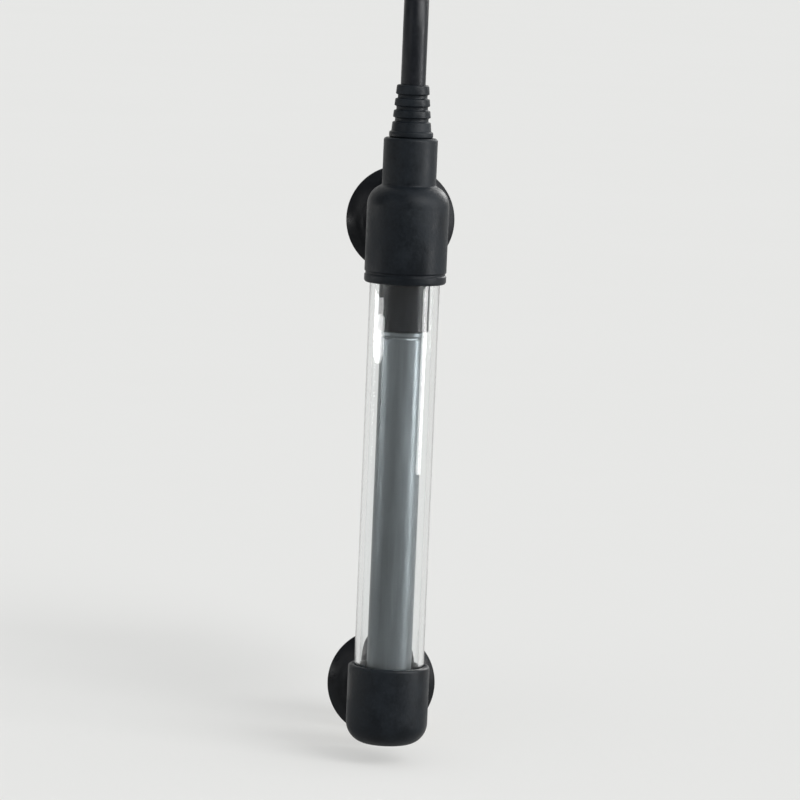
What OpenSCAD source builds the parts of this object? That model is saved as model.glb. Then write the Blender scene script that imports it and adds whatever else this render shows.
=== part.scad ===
// Submersible aquarium heater with a preset thermostat, in millimetres.
// The wall that it hangs on is the plane y = 0, and the heater hangs on its -y side.
// The origin is the centre of the upper suction cup's rim, and +z is up.

/* [Glass tube] */
// Outer diameter of the glass tube
tube_d = 14; // [13:0.5:20]
// Wall of the glass tube
tube_wall = 1; // [0.8:0.1:1.4]
// Length of glass that shows between head and bottom cap
window_len = 77; // [70:1:160]

/* [Rubber ends] */
// Wall of the head and of the bottom cap round the glass
boot_wall = 1.15; // [1:0.05:2.5]
// Rubber under the glass tube's round end
boot_floor = 1.6; // [1:0.1:4]
// Height of the bottom cap
cap_len = 16; // [15:0.5:24]
// Radius of the bottom cap's lower edge
cap_edge_r = 4.4; // [2:0.1:6]
// Radius of the small edges of the rubber ends
boot_edge_r = 0.6; // [0.2:0.1:0.9]
// Length of glass inside the head
head_grip = 12.5; // [11:0.5:20]
// Height of the room over the tube's mouth, where the conductors part
room_len = 8.6; // [8:0.2:12]
// Diameter of the room over the tube's mouth
room_d = 8.8; // [8.4:0.2:9.4]
// Diameter of the head's neck
neck_d = 10.8; // [10.6:0.2:13]
// Height of the neck above the shoulder
neck_len = 9.5; // [8:0.5:16]
// Height of the rounded shoulder under the neck
shoulder_len = 4; // [2:0.5:6]

/* [Suction cups] */
// Diameter of a suction cup
cup_d = 22; // [18:0.5:32]
// Width of the flat rim that seals on the wall
cup_rim = 0.8; // [0.5:0.1:1.5]
// Thickness of the cup's lip
cup_lip = 0.6; // [0.4:0.1:1]
// Thickness of the cup on its axis, under the neck
cup_crown = 1.7; // [1.2:0.1:1.8]
// Depth of the cup's hollow
cup_hollow = 3.4; // [2.5:0.1:3.8]
// Distance from the wall to the socket's face
cup_stand = 6; // [5.5:0.1:9]
// Diameter of the cup's neck in its socket
stud_d = 4; // [3:0.1:4.6]
// Diameter of the knob that the socket holds
knob_d = 6.4; // [5.8:0.1:7]
// Length of the knob
knob_len = 1.6; // [1:0.1:1.8]
// Diameter of a socket boss
boss_d = 10.4; // [9.6:0.1:12]
// Height of a socket boss over the rubber's round side
boss_out = 2.8; // [2.6:0.1:5]
// Rubber in front of the knob, in the socket's mouth
socket_lip = 1.2; // [0.8:0.1:1.5]
// Height of the upper cup's centre over the head's lower edge
upper_cup_rise = 11.5; // [7:0.5:14]
// Depth of the lower cup's centre under the bottom cap's upper edge
lower_cup_drop = 6.5; // [6:0.5:9]

/* [Cord gland] */
// Length of the gland above the neck
gland_out = 10.5; // [9:0.5:30]
// Diameter of the gland's collar on the neck
gland_collar_d = 8.8; // [8:0.1:10]
// Diameter of the gland inside the neck
gland_body_d = 6.8; // [6.4:0.1:7.4]
// Diameter of the gland's thin end
gland_tip_d = 6.4; // [6:0.1:7.2]
// Ring grooves that let the gland bend
gland_grooves = 3; // [1:1:4]

/* [Stopper] */
// Length of the stopper inside the glass
stopper_len = 6.4; // [5:0.2:9]
// Thickness of the stopper's flange on the tube's mouth
stopper_flange = 1.4; // [1:0.1:2]
// Sealing ribs on the stopper
stopper_ribs = 3; // [1:1:4]
// How far a sealing rib stands out
rib_out = 0.4; // [0.2:0.05:0.6]

/* [Thermostat] */
// Outer diameter of the thermostat capsule
capsule_d = 10.2; // [10:0.1:11.4]
// Wall of the capsule
capsule_wall = 0.7; // [0.5:0.05:0.8]
// Length of the capsule
capsule_len = 15.5; // [15.2:0.1:19]
// Width of the bimetal blade
blade_w = 3.2; // [2.6:0.1:3.3]
// Thickness of the bimetal blade
blade_t = 0.3; // [0.2:0.05:0.4]
// Length of the bimetal blade
blade_len = 8; // [7.4:0.1:8.2]
// Diameter of the two contacts
contact_d = 1.8; // [1.2:0.1:2]
// Thickness of a contact
contact_t = 0.5; // [0.4:0.05:0.6]
// Gap between the closed contacts
contact_gap = 0.05; // [0.02:0.01:0.08]
// Thickness of the fixed contact's arm
arm_t = 0.4; // [0.3:0.05:0.6]
// Diameter of the calibration screw
screw_d = 1.6; // [1.2:0.1:2]

/* [Heating element] */
// Outer diameter of the element's sleeve
sleeve_d = 9; // [8:0.1:9.4]
// Wall of the sleeve
sleeve_wall = 0.6; // [0.4:0.05:0.7]
// Diameter of the ceramic former
former_d = 4.4; // [3.6:0.1:4.5]
// Bore of the former
former_bore_d = 1.2; // [1:0.1:1.6]
// Diameter of the winding's wire
heat_wire_d = 0.8; // [0.5:0.05:0.9]
// Turns of the winding
heat_turns = 22; // [10:1:24]
// Diameter of the thermal fuse
fuse_d = 2.8; // [2.2:0.1:2.9]
// Length of the thermal fuse
fuse_len = 8; // [6:0.5:9]

/* [Wires] */
// Diameter of an insulated conductor
core_wire_d = 1.5; // [1.2:0.05:1.6]
// Diameter of the bare return wire
return_wire_d = 0.7; // [0.5:0.05:0.8]
// Diameter of the crimp
crimp_d = 2; // [1.8:0.05:2.2]
// Length of the crimp
crimp_len = 3; // [2:0.1:3.4]

/* [Lead] */
// Diameter of the lead
cord_d = 5; // [4.6:0.1:5.4]
// Length of the lead from gland to plug
cord_len = 1500; // [1400:10:1600]
// Turns of the put-away coil, an odd number so that both ends are at the front
coil_turns = 7; // [5:2:7]
// Clear space between neighbouring turns
turn_gap = 0.5; // [0.45:0.05:0.8]
// Angle of the coil's plane to the line square to the wall
lead_turn = 5; // [0:1:15]
// Height of the tie round the coil
tie_h = 8; // [5:0.5:12]
// Thickness of the tie
tie_t = 0.8; // [0.5:0.1:1.5]

/* [Plug] */
// Width of the plug body across its blades
plug_w = 21; // [20:0.5:24]
// Thickness of the plug body
plug_t = 13; // [11:0.5:14]
// Length of the plug body without its neck
plug_len = 17; // [15:0.5:22]
// Length of the plug's tapered neck
plug_neck_len = 13; // [10:0.5:20]
// Distance between the blades' middles
blade_pitch = 12.7; // [12.7:0.1:12.7]
// Length of a plug blade
pin_len = 16; // [15:0.1:18]
// Width of a plug blade
pin_w = 6.35; // [6:0.05:6.6]
// Thickness of a plug blade
pin_t = 1.5; // [1.4:0.05:1.6]
// Hole in a plug blade
pin_hole_d = 3.2; // [2.8:0.1:3.4]

/* [Hidden] */
$fn = 96;

// Clearance between pieces that seat in each other
seat = 0.05;
// Radial clearance of a suction cup's neck in its socket
swivel = 0.05;
// Room left round and behind a knob
knob_room = 0.1;
// Depth by which a cut runs past a face
past = 1;
// Depth by which joined shapes run into each other, and a thinner one for rounded edges
lap = 0.1;
thin_lap = 0.01;
// Radial clearance of a pin in its hole
pin_fit = 0.02;

// Radii
tube_r = tube_d / 2;
bore_r = tube_r - tube_wall;
boot_bore_r = tube_r + seat;
boot_r = boot_bore_r + boot_wall;
neck_r = neck_d / 2;
room_r = room_d / 2;
cord_r = cord_d / 2;
capsule_r = capsule_d / 2;
cavity_r = capsule_r - capsule_wall;
sleeve_r = sleeve_d / 2;
sleeve_bore_r = sleeve_r - sleeve_wall;
former_r = former_d / 2;
core_wire_r = core_wire_d / 2;
return_wire_r = return_wire_d / 2;

// The tube's axis stands this far from the wall
tube_y = cup_stand + boss_out + boot_r;

// Heights, from the upper cup's centre at z = 0
room_over = 1.6;
head_z = -upper_cup_rise;
mouth_z = head_z + head_grip;
room_z = mouth_z + stopper_flange + seat;
neck_floor_z = mouth_z + room_len;
neck_z = neck_floor_z - room_over;
shoulder_z = neck_z - shoulder_len;
neck_top_z = neck_z + neck_len;
gland_top_z = neck_top_z + gland_out;
cap_top_z = head_z - window_len;
cap_z = cap_top_z - cap_len;
tube_z = cap_z + boot_floor;
tube_round_z = tube_z + tube_r;
lower_cup_z = cap_top_z - lower_cup_drop;

// Cord gland
gland_flange_t = 1.5;
gland_z = neck_floor_z - seat - gland_flange_t;
gland_collar_t = 1.2;
gland_groove_w = 0.8;
gland_groove_depth = 0.45;
gland_edge_r = 0.3;
gland_step = 0.4;
cord_end_z = gland_z;

// Mouth stopper
stopper_inset = 0.1;

// Thermostat capsule, from its top down
lid_t = 1.7;
spigot_len = 1.1;
floor_t = 1.8;
capsule_top_z = mouth_z - stopper_len - seat;
capsule_z = capsule_top_z - capsule_len;
cavity_z = capsule_z + floor_t;
spigot_z = capsule_top_z - lid_t - spigot_len;
foot_spigot_len = 2;

// Mechanism: its own y runs from the fixed arm towards the blade
plate_t = 0.8;
plate_w = 2;
post_low = 1.3;
rivet_r = 0.5;
rivet_head_r = 1;
rivet_head_t = 0.4;
rivet_room = 0.1;
rivet_sink = 0.1;
rivet_hole_r = rivet_r + rivet_room;
post_gap = 0.1;
post_t = 1.15;
blade_y = contact_t + contact_gap + contact_t;
post_y = blade_y + blade_t + post_gap;
rivet_drop = 1.2;
blade_drop = 0.6;
blade_top_z = spigot_z - plate_t - blade_drop;
rivet_z = blade_top_z - rivet_drop;
blade_tip_z = blade_top_z - blade_len;
contact_rise = 2;
contact_z = blade_tip_z + contact_rise;
magnet_w = 2.4;
magnet_h = 1.6;
magnet_t = 0.7;
magnet_drop = 0.8;
magnet_z = blade_tip_z - magnet_drop;
arm_over = 1.6;
arm_top_z = contact_z + arm_over;
foot_t = 0.4;
foot_y = -2.4;
foot_over = 0.1;
screw_rise = 0.6;
screw_z = contact_z + screw_rise;
screw_boss_w = 3;
screw_boss_h = 3.2;
screw_boss_gap = 1.2;
screw_boss_y = -arm_t - screw_boss_gap;
pin_clear = 0.1;
wire_x = blade_w / 2 + crimp_d / 2 + pin_clear;
wire_room = 0.03;
wire_hole_r = core_wire_r + wire_room;
live_lug_x = wire_x + core_wire_r;
crimp_rise = 0.4;
crimp_edge_r = 0.2;
crimp_z = cavity_z + crimp_rise;
fuse_x = sleeve_bore_r - fuse_d / 2 - pin_clear;
fuse_lead_r = 0.3;
fuse_edge_r = 0.4;

// Heating element, from the capsule down
sleeve_top_z = capsule_z - seat;
foot_drop = 4.5;
foot_z = cap_top_z - foot_drop;
foot_flange_t = 1.5;
foot_recess = 1;
foot_rim = 0.8;
foot_room = 0.1;
fuse_gap = 0.6;
fuse_top_z = capsule_z - foot_spigot_len - fuse_gap;
fuse_z = fuse_top_z - fuse_len;
band_len = 2;
band_floor_t = 0.6;
band_wall = 0.1;
band_hole_room = 0.3;
band_r = former_r + heat_wire_d + band_wall;
fuse_lead_len = 1.4;
upper_band_z = fuse_z - fuse_lead_len;
former_top_z = upper_band_z - band_floor_t;
lower_band_z = foot_z + foot_recess;
former_z = lower_band_z + band_floor_t;
winding_top_z = upper_band_z - band_len;
winding_z = lower_band_z + band_len;
winding_room = 0.03;
winding_r = former_r + heat_wire_d / 2 + winding_room;

// Lead: the coil and its layers
layer_step = cord_d + turn_gap;
layer_x = layer_step / 2;
cord_sides = 8;
coil_sides = 6;
coil_rings = 24;
heat_sides = 6;
heat_rings = 24;
core_wire_sides = 8;
return_wire_sides = 6;

// Route of the lead from the gland's end, as [sideways, away from the tube, up].
// It rises, bends over the place of the tank's rim, and hangs down behind it.
rise_points = [
    [0, 0, 4], [0, 0, 8], [0, 0.7, 13.4], [0, 2.8, 18.5], [0, 6.2, 22.8],
    [0, 10.5, 26.2], [0, 15.6, 28.3], [0, 21, 29], [0, 26.4, 28.3],
    [0, 31.5, 26.2], [0, 35.8, 22.8], [0, 39.2, 18.5], [0, 41.3, 13.4],
    [0, 42, 8], [0, 42, -4], [0, 42, -16], [0, 42, -24],
    [-0.6, 42, -32], [-1.6, 42, -40], [-2.4, 42, -48], [-2.75, 42, -54]
];
tail_points = [
    [2.75, 42, -69], [2.35, 42, -73], [1.4, 42, -77], [0.4, 42, -81], [0, 42, -85]
];
coil_front = 42;
coil_z = -64;
coil_lead = 2;
plug_z = -90;
rise_path = concat([[0, 0, 0]], rise_points, [[-layer_x, coil_front, coil_z + coil_lead]]);
tail_path = concat([[layer_x, coil_front, coil_z - coil_lead]], tail_points, [[0, coil_front, plug_z]]);

// Length of a path of points
function steps(path) = [for (i = [1 : len(path) - 1]) norm(path[i] - path[i - 1])];
function total(list) = list * [for (each_one = list) 1];
function path_length(path) = total(steps(path));

// The coil winds in on one layer and out again on the other, with a short straight end each way
free_len = path_length(rise_path) + path_length(tail_path) + 2 * coil_lead;
coil_mean_r = (cord_len - free_len) / (2 * PI * coil_turns);
coil_out_r = coil_mean_r + layer_step * coil_turns / 4;
coil_away = coil_front + coil_out_r;
half_turns = coil_turns / 2;
// The climb to the other layer takes this share of a turn before the middle, and as much after it
climb_turn = 0.25;

function coil_r(turn) = coil_out_r - layer_step * (half_turns - abs(turn - half_turns));
function coil_x(turn) = layer_x * max(-1, min(1, (turn - half_turns) / climb_turn));
function coil_point(turn) = [
    coil_x(turn),
    coil_away - coil_r(turn) * cos(360 * turn),
    coil_z - coil_r(turn) * sin(360 * turn)
];
coil_winding = [for (i = [0 : coil_turns * coil_rings]) coil_point(i / coil_rings)];
coil_path = concat(
    [coil_winding[0] + [0, 0, coil_lead]],
    coil_winding,
    [coil_winding[len(coil_winding) - 1] - [0, 0, coil_lead]]
);

// The winding climbs evenly, with a straight end square to each band
function heat_point(i) = [
    winding_r * cos(360 * i / heat_rings),
    winding_r * sin(360 * i / heat_rings),
    winding_top_z - heat_wire_d
        - (winding_top_z - winding_z - 2 * heat_wire_d) * i / (heat_turns * heat_rings)
];
heat_helix = [for (i = [0 : heat_turns * heat_rings]) heat_point(i)];
heat_path = concat(
    [heat_helix[0] + [0, 0, heat_wire_d]],
    heat_helix,
    [heat_helix[len(heat_helix) - 1] - [0, 0, heat_wire_d]]
);

// Least clear space between points of a wound tube that are at least half a turn apart
function least_gap(path, rings, wide) = min([
    for (i = [0 : len(path) - 1 - rings / 2])
        for (k = [i + rings / 2 : len(path) - 1])
            norm(path[k] - path[i])
]) - wide;

echo(coil_gap = least_gap(coil_winding, coil_rings, cord_d));
echo(winding_gap = least_gap(heat_helix, heat_rings, heat_wire_d));
echo(lead_length = free_len + path_length(coil_path));

// Vectors
function unit(v) = v / norm(v);
function last(list) = list[len(list) - 1];
function heading(path, i) = unit(path[min(i + 1, len(path) - 1)] - path[max(i - 1, 0)]);
function square_to(v, along) = unit(v - (v * along) * along);

// A ring of points round a path point; side is a direction that is never along the path
function ring_at(path, i, side, r, n) =
    let (along = heading(path, i), u = square_to(side, along), v = cross(along, u))
        [for (k = [0 : n - 1]) path[i] + r * (cos(360 * k / n) * u + sin(360 * k / n) * v)];

// An unbroken tube along a path, with one side vector for each of its points
module swept_tube(path, sides, r, n) {
    rings = [for (i = [0 : len(path) - 1]) each ring_at(path, i, sides[i], r, n)];
    ends = len(path) * n;
    walls = [
        for (i = [0 : len(path) - 2])
            for (k = [0 : n - 1])
                let (a = i * n + k, b = i * n + (k + 1) % n)
                    each [[a, a + n, b + n], [a, b + n, b]]
    ];
    first_cap = [for (k = [1 : n - 2]) [0, k, k + 1]];
    last_cap = [for (k = [1 : n - 2]) [ends - n, ends - n + k + 1, ends - n + k]];
    polyhedron(points = rings, faces = concat(walls, first_cap, last_cap), convexity = 10);
}

module flat_swept_tube(path, side, r, n) {
    swept_tube(path, [for (p = path) side], r, n);
}

// Places
module at_tube() {
    translate([0, -tube_y, 0]) children();
}

module in_lead_plane() {
    at_tube() translate([0, 0, gland_top_z]) rotate([0, 0, -lead_turn]) children();
}

// The thermostat's works face the wall, so that its screw does too
module in_works() {
    at_tube() rotate([0, 0, 180]) children();
}

// A straight round bar between two heights
module bar(r, z1, z2) {
    translate([0, 0, z1]) cylinder(r = r, h = z2 - z1);
}

// A bar with a rounded lower and upper edge; an edge radius of 0 leaves a sharp edge
module rounded_bar(r, z1, z2, low_r, high_r) {
    rotate_extrude() {
        translate([0, z1 + low_r]) square([r, z2 - z1 - low_r - high_r]);
        if (low_r > 0) {
            translate([0, z1]) square([r - low_r, low_r + thin_lap]);
            rounded_edge(r, z1 + low_r, low_r);
        }
        if (high_r > 0) {
            translate([0, z2 - high_r - thin_lap]) square([r - high_r, high_r + thin_lap]);
            rounded_edge(r, z2 - high_r, high_r);
        }
    }
}

// The outer half of a circle, so that a large edge radius doesn't reach over the axis
module rounded_edge(r, z, edge_r) {
    translate([r - edge_r, z]) intersection() {
        circle(edge_r);
        translate([-thin_lap, -edge_r]) square([edge_r + thin_lap, 2 * edge_r]);
    }
}

module along_y() {
    rotate([-90, 0, 0]) children();
}

// Socket boss of a suction cup, and the hollow that its knob turns in
module socket_boss(z) {
    translate([0, -cup_stand, z]) rotate([90, 0, 0])
        rounded_bar(boss_d / 2, 0, tube_y - cup_stand, boot_edge_r, 0);
}

module socket_hollow(z) {
    stud_hole_r = stud_d / 2 + swivel;
    knob_hole_r = knob_d / 2 + knob_room;
    translate([0, -cup_stand, z]) rotate([90, 0, 0]) {
        translate([0, 0, -past]) cylinder(r = stud_hole_r, h = socket_lip + 2 * past);
        translate([0, 0, socket_lip]) cylinder(r = knob_hole_r, h = knob_len + 2 * knob_room);
    }
}

// Glass and rubber: a bar with the tube's round lower end
module round_end(r, top_z) {
    bar(r, tube_round_z, top_z);
    translate([0, 0, tube_round_z]) sphere(r);
}

module glass_tube() {
    color([0.86, 0.93, 0.94, 0.35])
    at_tube() difference() {
        round_end(tube_r, mouth_z);
        round_end(bore_r, mouth_z + past);
    }
}

// Barrel, rounded shoulder and neck
module head_shell() {
    step = boot_r - neck_r;
    shoulder_r = (step * step + shoulder_len * shoulder_len) / (2 * step);
    rounded_bar(boot_r, head_z, shoulder_z, boot_edge_r, 0);
    rounded_bar(neck_r, neck_z, neck_top_z, 0, boot_edge_r);
    translate([0, 0, shoulder_z]) rotate_extrude() intersection() {
        translate([boot_r - shoulder_r, 0]) circle(shoulder_r);
        square([boot_r, shoulder_len]);
    }
}

module head_cap() {
    color([0.08, 0.09, 0.11])
    difference() {
        union() {
            at_tube() head_shell();
            socket_boss(0);
        }
        at_tube() {
            bar(boot_bore_r, head_z - past, room_z);
            bar(room_r, room_z - seat, neck_floor_z);
            bar(gland_body_d / 2 + seat, neck_floor_z - seat, neck_top_z + past);
        }
        socket_hollow(0);
    }
}

module bottom_cap() {
    color([0.08, 0.09, 0.11])
    difference() {
        union() {
            at_tube() rounded_bar(boot_r, cap_z, cap_top_z, cap_edge_r, boot_edge_r);
            socket_boss(lower_cup_z);
        }
        at_tube() round_end(boot_bore_r, cap_top_z + past);
        socket_hollow(lower_cup_z);
    }
}

// A suction cup is one piece: flat rim, domed bell with its hollow, neck and knob
module suction_cup(z) {
    cup_r = cup_d / 2;
    hollow_edge = cup_r - cup_rim;
    hollow_r = (hollow_edge * hollow_edge + cup_hollow * cup_hollow) / (2 * cup_hollow);
    crown_z = cup_hollow + cup_crown;
    dome_h = crown_z - cup_lip;
    dome_r = (cup_r * cup_r + dome_h * dome_h) / (2 * dome_h);
    bell_z = cup_stand - knob_room;
    neck_root = 0.8;
    neck_flare = 0.4;
    neck_step = 0.6;
    neck_low_z = crown_z - neck_root;
    neck_low_r = stud_d + neck_flare;
    knob_z = cup_stand + socket_lip + knob_room;
    knob_edge = 0.4;
    translate([0, 0, z]) rotate([90, 0, 0]) difference() {
        union() {
            bar(cup_r, 0, cup_lip);
            intersection() {
                translate([0, 0, crown_z - dome_r]) sphere(dome_r);
                bar(cup_r + past, cup_lip, crown_z + past);
            }
            translate([0, 0, neck_low_z])
                cylinder(r1 = neck_low_r, r2 = stud_d / 2 + neck_step, h = bell_z - neck_low_z);
            bar(stud_d / 2, crown_z, knob_z + knob_edge);
            rounded_bar(knob_d / 2, knob_z, knob_z + knob_len, knob_edge, knob_edge);
        }
        translate([0, 0, cup_hollow - hollow_r]) sphere(hollow_r);
    }
}

module upper_cup() {
    color([0.1, 0.11, 0.13]) suction_cup(0);
}

module lower_cup() {
    color([0.1, 0.11, 0.13]) suction_cup(lower_cup_z);
}

// Tapered rubber gland: flange in the room, body in the neck, collar and grooved taper above
module cord_gland() {
    body_r = gland_body_d / 2;
    collar_r = gland_collar_d / 2;
    tip_r = gland_tip_d / 2;
    taper_r = collar_r - gland_step;
    taper_z = neck_top_z + seat + gland_collar_t;
    taper_len = gland_top_z - taper_z;
    pitch = taper_len / (gland_grooves + 1);
    color([0.07, 0.07, 0.08])
    at_tube() difference() {
        union() {
            bar(room_r - seat, gland_z, gland_z + gland_flange_t);
            bar(body_r, gland_z, neck_top_z + seat);
            rounded_bar(collar_r, neck_top_z + seat, taper_z, gland_edge_r, gland_edge_r);
            translate([0, 0, taper_z - thin_lap])
                cylinder(r1 = taper_r, r2 = tip_r, h = taper_len + thin_lap);
        }
        bar(cord_r + seat / 2, gland_z - past, gland_top_z + past);
        for (i = [1 : gland_grooves])
            translate([0, 0, taper_z + i * pitch - gland_groove_w / 2])
                groove_ring(tip_r + (taper_r - tip_r) * (1 - i / (gland_grooves + 1)));
    }
}

module groove_ring(r) {
    difference() {
        cylinder(r = r + past, h = gland_groove_w);
        translate([0, 0, -past]) cylinder(r = r - gland_groove_depth, h = gland_groove_w + 2 * past);
    }
}

// Lead's end inside the gland
module cord_entry() {
    color([0.06, 0.06, 0.07])
    at_tube() bar(cord_r, cord_end_z, gland_top_z);
}

// A conductor leaves the lead, steps outwards in the room and runs straight down
module conductor(side, bottom_z) {
    from_x = cord_d / 4;
    top_straight = 0.4;
    both_straight = 0.6;
    bend_steps = 6;
    drop = cord_end_z - room_z;
    bend = [for (i = [0 : bend_steps]) [
        side * (from_x + (wire_x - from_x) * (1 - cos(180 * i / bend_steps)) / 2),
        0,
        cord_end_z - top_straight - (drop - both_straight) * i / bend_steps
    ]];
    path = concat([[side * from_x, 0, cord_end_z]], bend, [[side * wire_x, 0, bottom_z]]);
    flat_swept_tube(path, [0, 1, 0], core_wire_r, core_wire_sides);
}

module live_wire() {
    color([0.45, 0.26, 0.14]) in_works() conductor(-1, spigot_z);
}

module neutral_wire() {
    color([0.2, 0.35, 0.65]) in_works() conductor(1, crimp_z + crimp_len);
}

module mouth_stopper() {
    body_r = bore_r - rib_out;
    pitch = stopper_len / (stopper_ribs + 1);
    color([0.16, 0.17, 0.19])
    in_works() difference() {
        union() {
            bar(body_r, mouth_z - stopper_len, mouth_z + seat);
            bar(tube_r - stopper_inset, mouth_z, mouth_z + stopper_flange);
            for (i = [1 : stopper_ribs])
                translate([0, 0, mouth_z - i * pitch]) rotate_extrude()
                    intersection() {
                        translate([body_r - rib_out, 0]) circle(2 * rib_out - seat);
                        translate([0, -past]) square([bore_r, 2 * past]);
                    }
        }
        wire_holes(mouth_z - stopper_len - past, mouth_z + stopper_flange + past);
    }
}

module wire_holes(z1, z2) {
    for (side = [-1, 1])
        translate([side * wire_x, 0, 0]) bar(wire_hole_r, z1, z2);
}

// Thermostat capsule
module thermostat_base() {
    color([0.07, 0.08, 0.1])
    in_works() difference() {
        union() {
            difference() {
                bar(capsule_r, capsule_z, capsule_top_z - lid_t - seat);
                bar(cavity_r, cavity_z, capsule_top_z);
            }
            bar(sleeve_bore_r - seat, capsule_z - foot_spigot_len, capsule_z + lap);
            intersection() {
                translate([-screw_boss_w / 2, -capsule_r, screw_z - screw_boss_h / 2])
                    cube([screw_boss_w, capsule_r + screw_boss_y, screw_boss_h]);
                bar(capsule_r - lap, capsule_z, capsule_top_z);
            }
        }
        translate([0, -capsule_r - past, screw_z])
            along_y() cylinder(r = screw_d / 2 + pin_fit, h = capsule_r + past);
        translate([-fuse_x, 0, 0]) floor_hole(fuse_lead_r + seat);
        translate([wire_x, 0, 0]) floor_hole(return_wire_r + seat);
    }
}

module floor_hole(r) {
    bar(r, capsule_z - foot_spigot_len - past, cavity_z + past);
}

module thermostat_lid() {
    color([0.12, 0.12, 0.14])
    in_works() difference() {
        union() {
            bar(capsule_r, capsule_top_z - lid_t, capsule_top_z);
            bar(cavity_r - seat, spigot_z, capsule_top_z - lid_t + lap);
        }
        wire_holes(spigot_z - past, capsule_top_z + past);
    }
}

// Brass post that carries the blade, with the plate that the live conductor meets
module blade_post() {
    color([0.78, 0.62, 0.3])
    in_works() difference() {
        union() {
            translate([-live_lug_x, -plate_w / 2, spigot_z - plate_t])
                cube([live_lug_x + blade_w / 2, post_y + plate_w / 2 + lap, plate_t]);
            translate([-blade_w / 2, post_y, rivet_z - post_low])
                cube([blade_w, post_t, spigot_z - rivet_z + post_low]);
        }
        translate([0, post_y - past, rivet_z]) along_y() cylinder(r = rivet_hole_r, h = post_t + 2 * past);
    }
}

module bimetal_blade() {
    color([0.72, 0.72, 0.7])
    in_works() difference() {
        translate([-blade_w / 2, blade_y, blade_tip_z]) cube([blade_w, blade_t, blade_len]);
        translate([0, blade_y - past, rivet_z])
            along_y() cylinder(r = rivet_r + pin_fit, h = 2 * past + blade_t);
    }
}

module blade_rivet() {
    color([0.8, 0.66, 0.36])
    in_works() translate([0, 0, rivet_z]) along_y() {
        bar(rivet_head_r, blade_y - rivet_head_t, blade_y);
        bar(rivet_r, blade_y - lap, post_y + post_t - rivet_sink);
    }
}

module contact(y) {
    translate([0, y, contact_z]) along_y() cylinder(r = contact_d / 2, h = contact_t);
}

module moving_contact() {
    color([0.85, 0.86, 0.88]) in_works() contact(blade_y - contact_t);
}

module fixed_contact() {
    color([0.85, 0.86, 0.88]) in_works() contact(0);
}

module fixed_arm() {
    color([0.78, 0.62, 0.3])
    in_works() {
        translate([-blade_w / 2, -arm_t, cavity_z]) cube([blade_w, arm_t, arm_top_z - cavity_z]);
        translate([-fuse_x - fuse_lead_r, foot_y, cavity_z])
            cube([fuse_x + fuse_lead_r + blade_w / 2, fuse_lead_r + foot_over - foot_y, foot_t]);
    }
}

module setting_screw() {
    slot_w = 0.3;
    slot_depth = 0.4;
    sink = 0.2;
    start_y = -capsule_r + sink;
    color([0.76, 0.6, 0.28])
    in_works() difference() {
        translate([0, start_y, screw_z]) along_y() cylinder(r = screw_d / 2, h = -arm_t - start_y);
        translate([-screw_d, start_y - past, screw_z - slot_w / 2])
            cube([2 * screw_d, past + slot_depth, slot_w]);
    }
}

module snap_magnet() {
    color([0.35, 0.36, 0.38])
    in_works() translate([-magnet_w / 2, 0, magnet_z]) cube([magnet_w, magnet_t, magnet_h]);
}

module neutral_crimp() {
    color([0.7, 0.71, 0.73])
    in_works() translate([wire_x, 0, 0])
        rounded_bar(crimp_d / 2, crimp_z, crimp_z + crimp_len, crimp_edge_r, crimp_edge_r);
}

// Fuse with its two straight leads, from the fixed arm's foot to the upper band
module thermal_fuse() {
    color([0.88, 0.86, 0.8])
    in_works() translate([-fuse_x, 0, 0]) {
        rounded_bar(fuse_d / 2, fuse_z, fuse_top_z, fuse_edge_r, fuse_edge_r);
        bar(fuse_lead_r, upper_band_z, fuse_z + lap);
        bar(fuse_lead_r, fuse_top_z - lap, cavity_z);
    }
}

// Heating element
module element_sleeve() {
    color([0.52, 0.54, 0.56])
    at_tube() difference() {
        bar(sleeve_r, foot_z + seat, sleeve_top_z);
        bar(sleeve_bore_r, foot_z - past, sleeve_top_z + past);
    }
}

module ceramic_former() {
    color([0.93, 0.92, 0.88])
    at_tube() difference() {
        bar(former_r, former_z, former_top_z);
        bar(former_bore_d / 2, former_z - past, former_top_z + past);
    }
}

module heating_coil() {
    outward = [for (p = heat_path) [p.x, p.y, 0]];
    color([0.42, 0.4, 0.38])
    at_tube() swept_tube(heat_path, outward, heat_wire_d / 2, heat_sides);
}

// End band: a cap over the former's end, with a hole for the return wire at the top
module upper_band() {
    color([0.75, 0.75, 0.76])
    at_tube() difference() {
        bar(band_r, upper_band_z - band_len, upper_band_z);
        bar(former_r + seat / 2, upper_band_z - band_len - past, former_top_z);
        bar(former_bore_d / 2 + band_hole_room, former_top_z - past, upper_band_z + past);
    }
}

module lower_band() {
    color([0.75, 0.75, 0.76])
    at_tube() difference() {
        bar(band_r, lower_band_z, lower_band_z + band_len);
        bar(former_r + seat / 2, former_z, lower_band_z + band_len + past);
    }
}

// Return wire: from the crimp, past the fuse and down the former's bore to the lower band
module return_wire() {
    under_capsule = 1;
    over_band = 1.5;
    bend_steps = 8;
    bend_z = fuse_top_z - under_capsule;
    bend_len = bend_z - upper_band_z - over_band;
    bend = [for (i = [0 : bend_steps]) [
        wire_x * (1 + cos(180 * i / bend_steps)) / 2,
        0,
        bend_z - bend_len * i / bend_steps
    ]];
    path = concat([[wire_x, 0, crimp_z]], bend, [[0, 0, former_z]]);
    color([0.8, 0.8, 0.78])
    in_works() flat_swept_tube(path, [0, 1, 0], return_wire_r, return_wire_sides);
}

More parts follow.
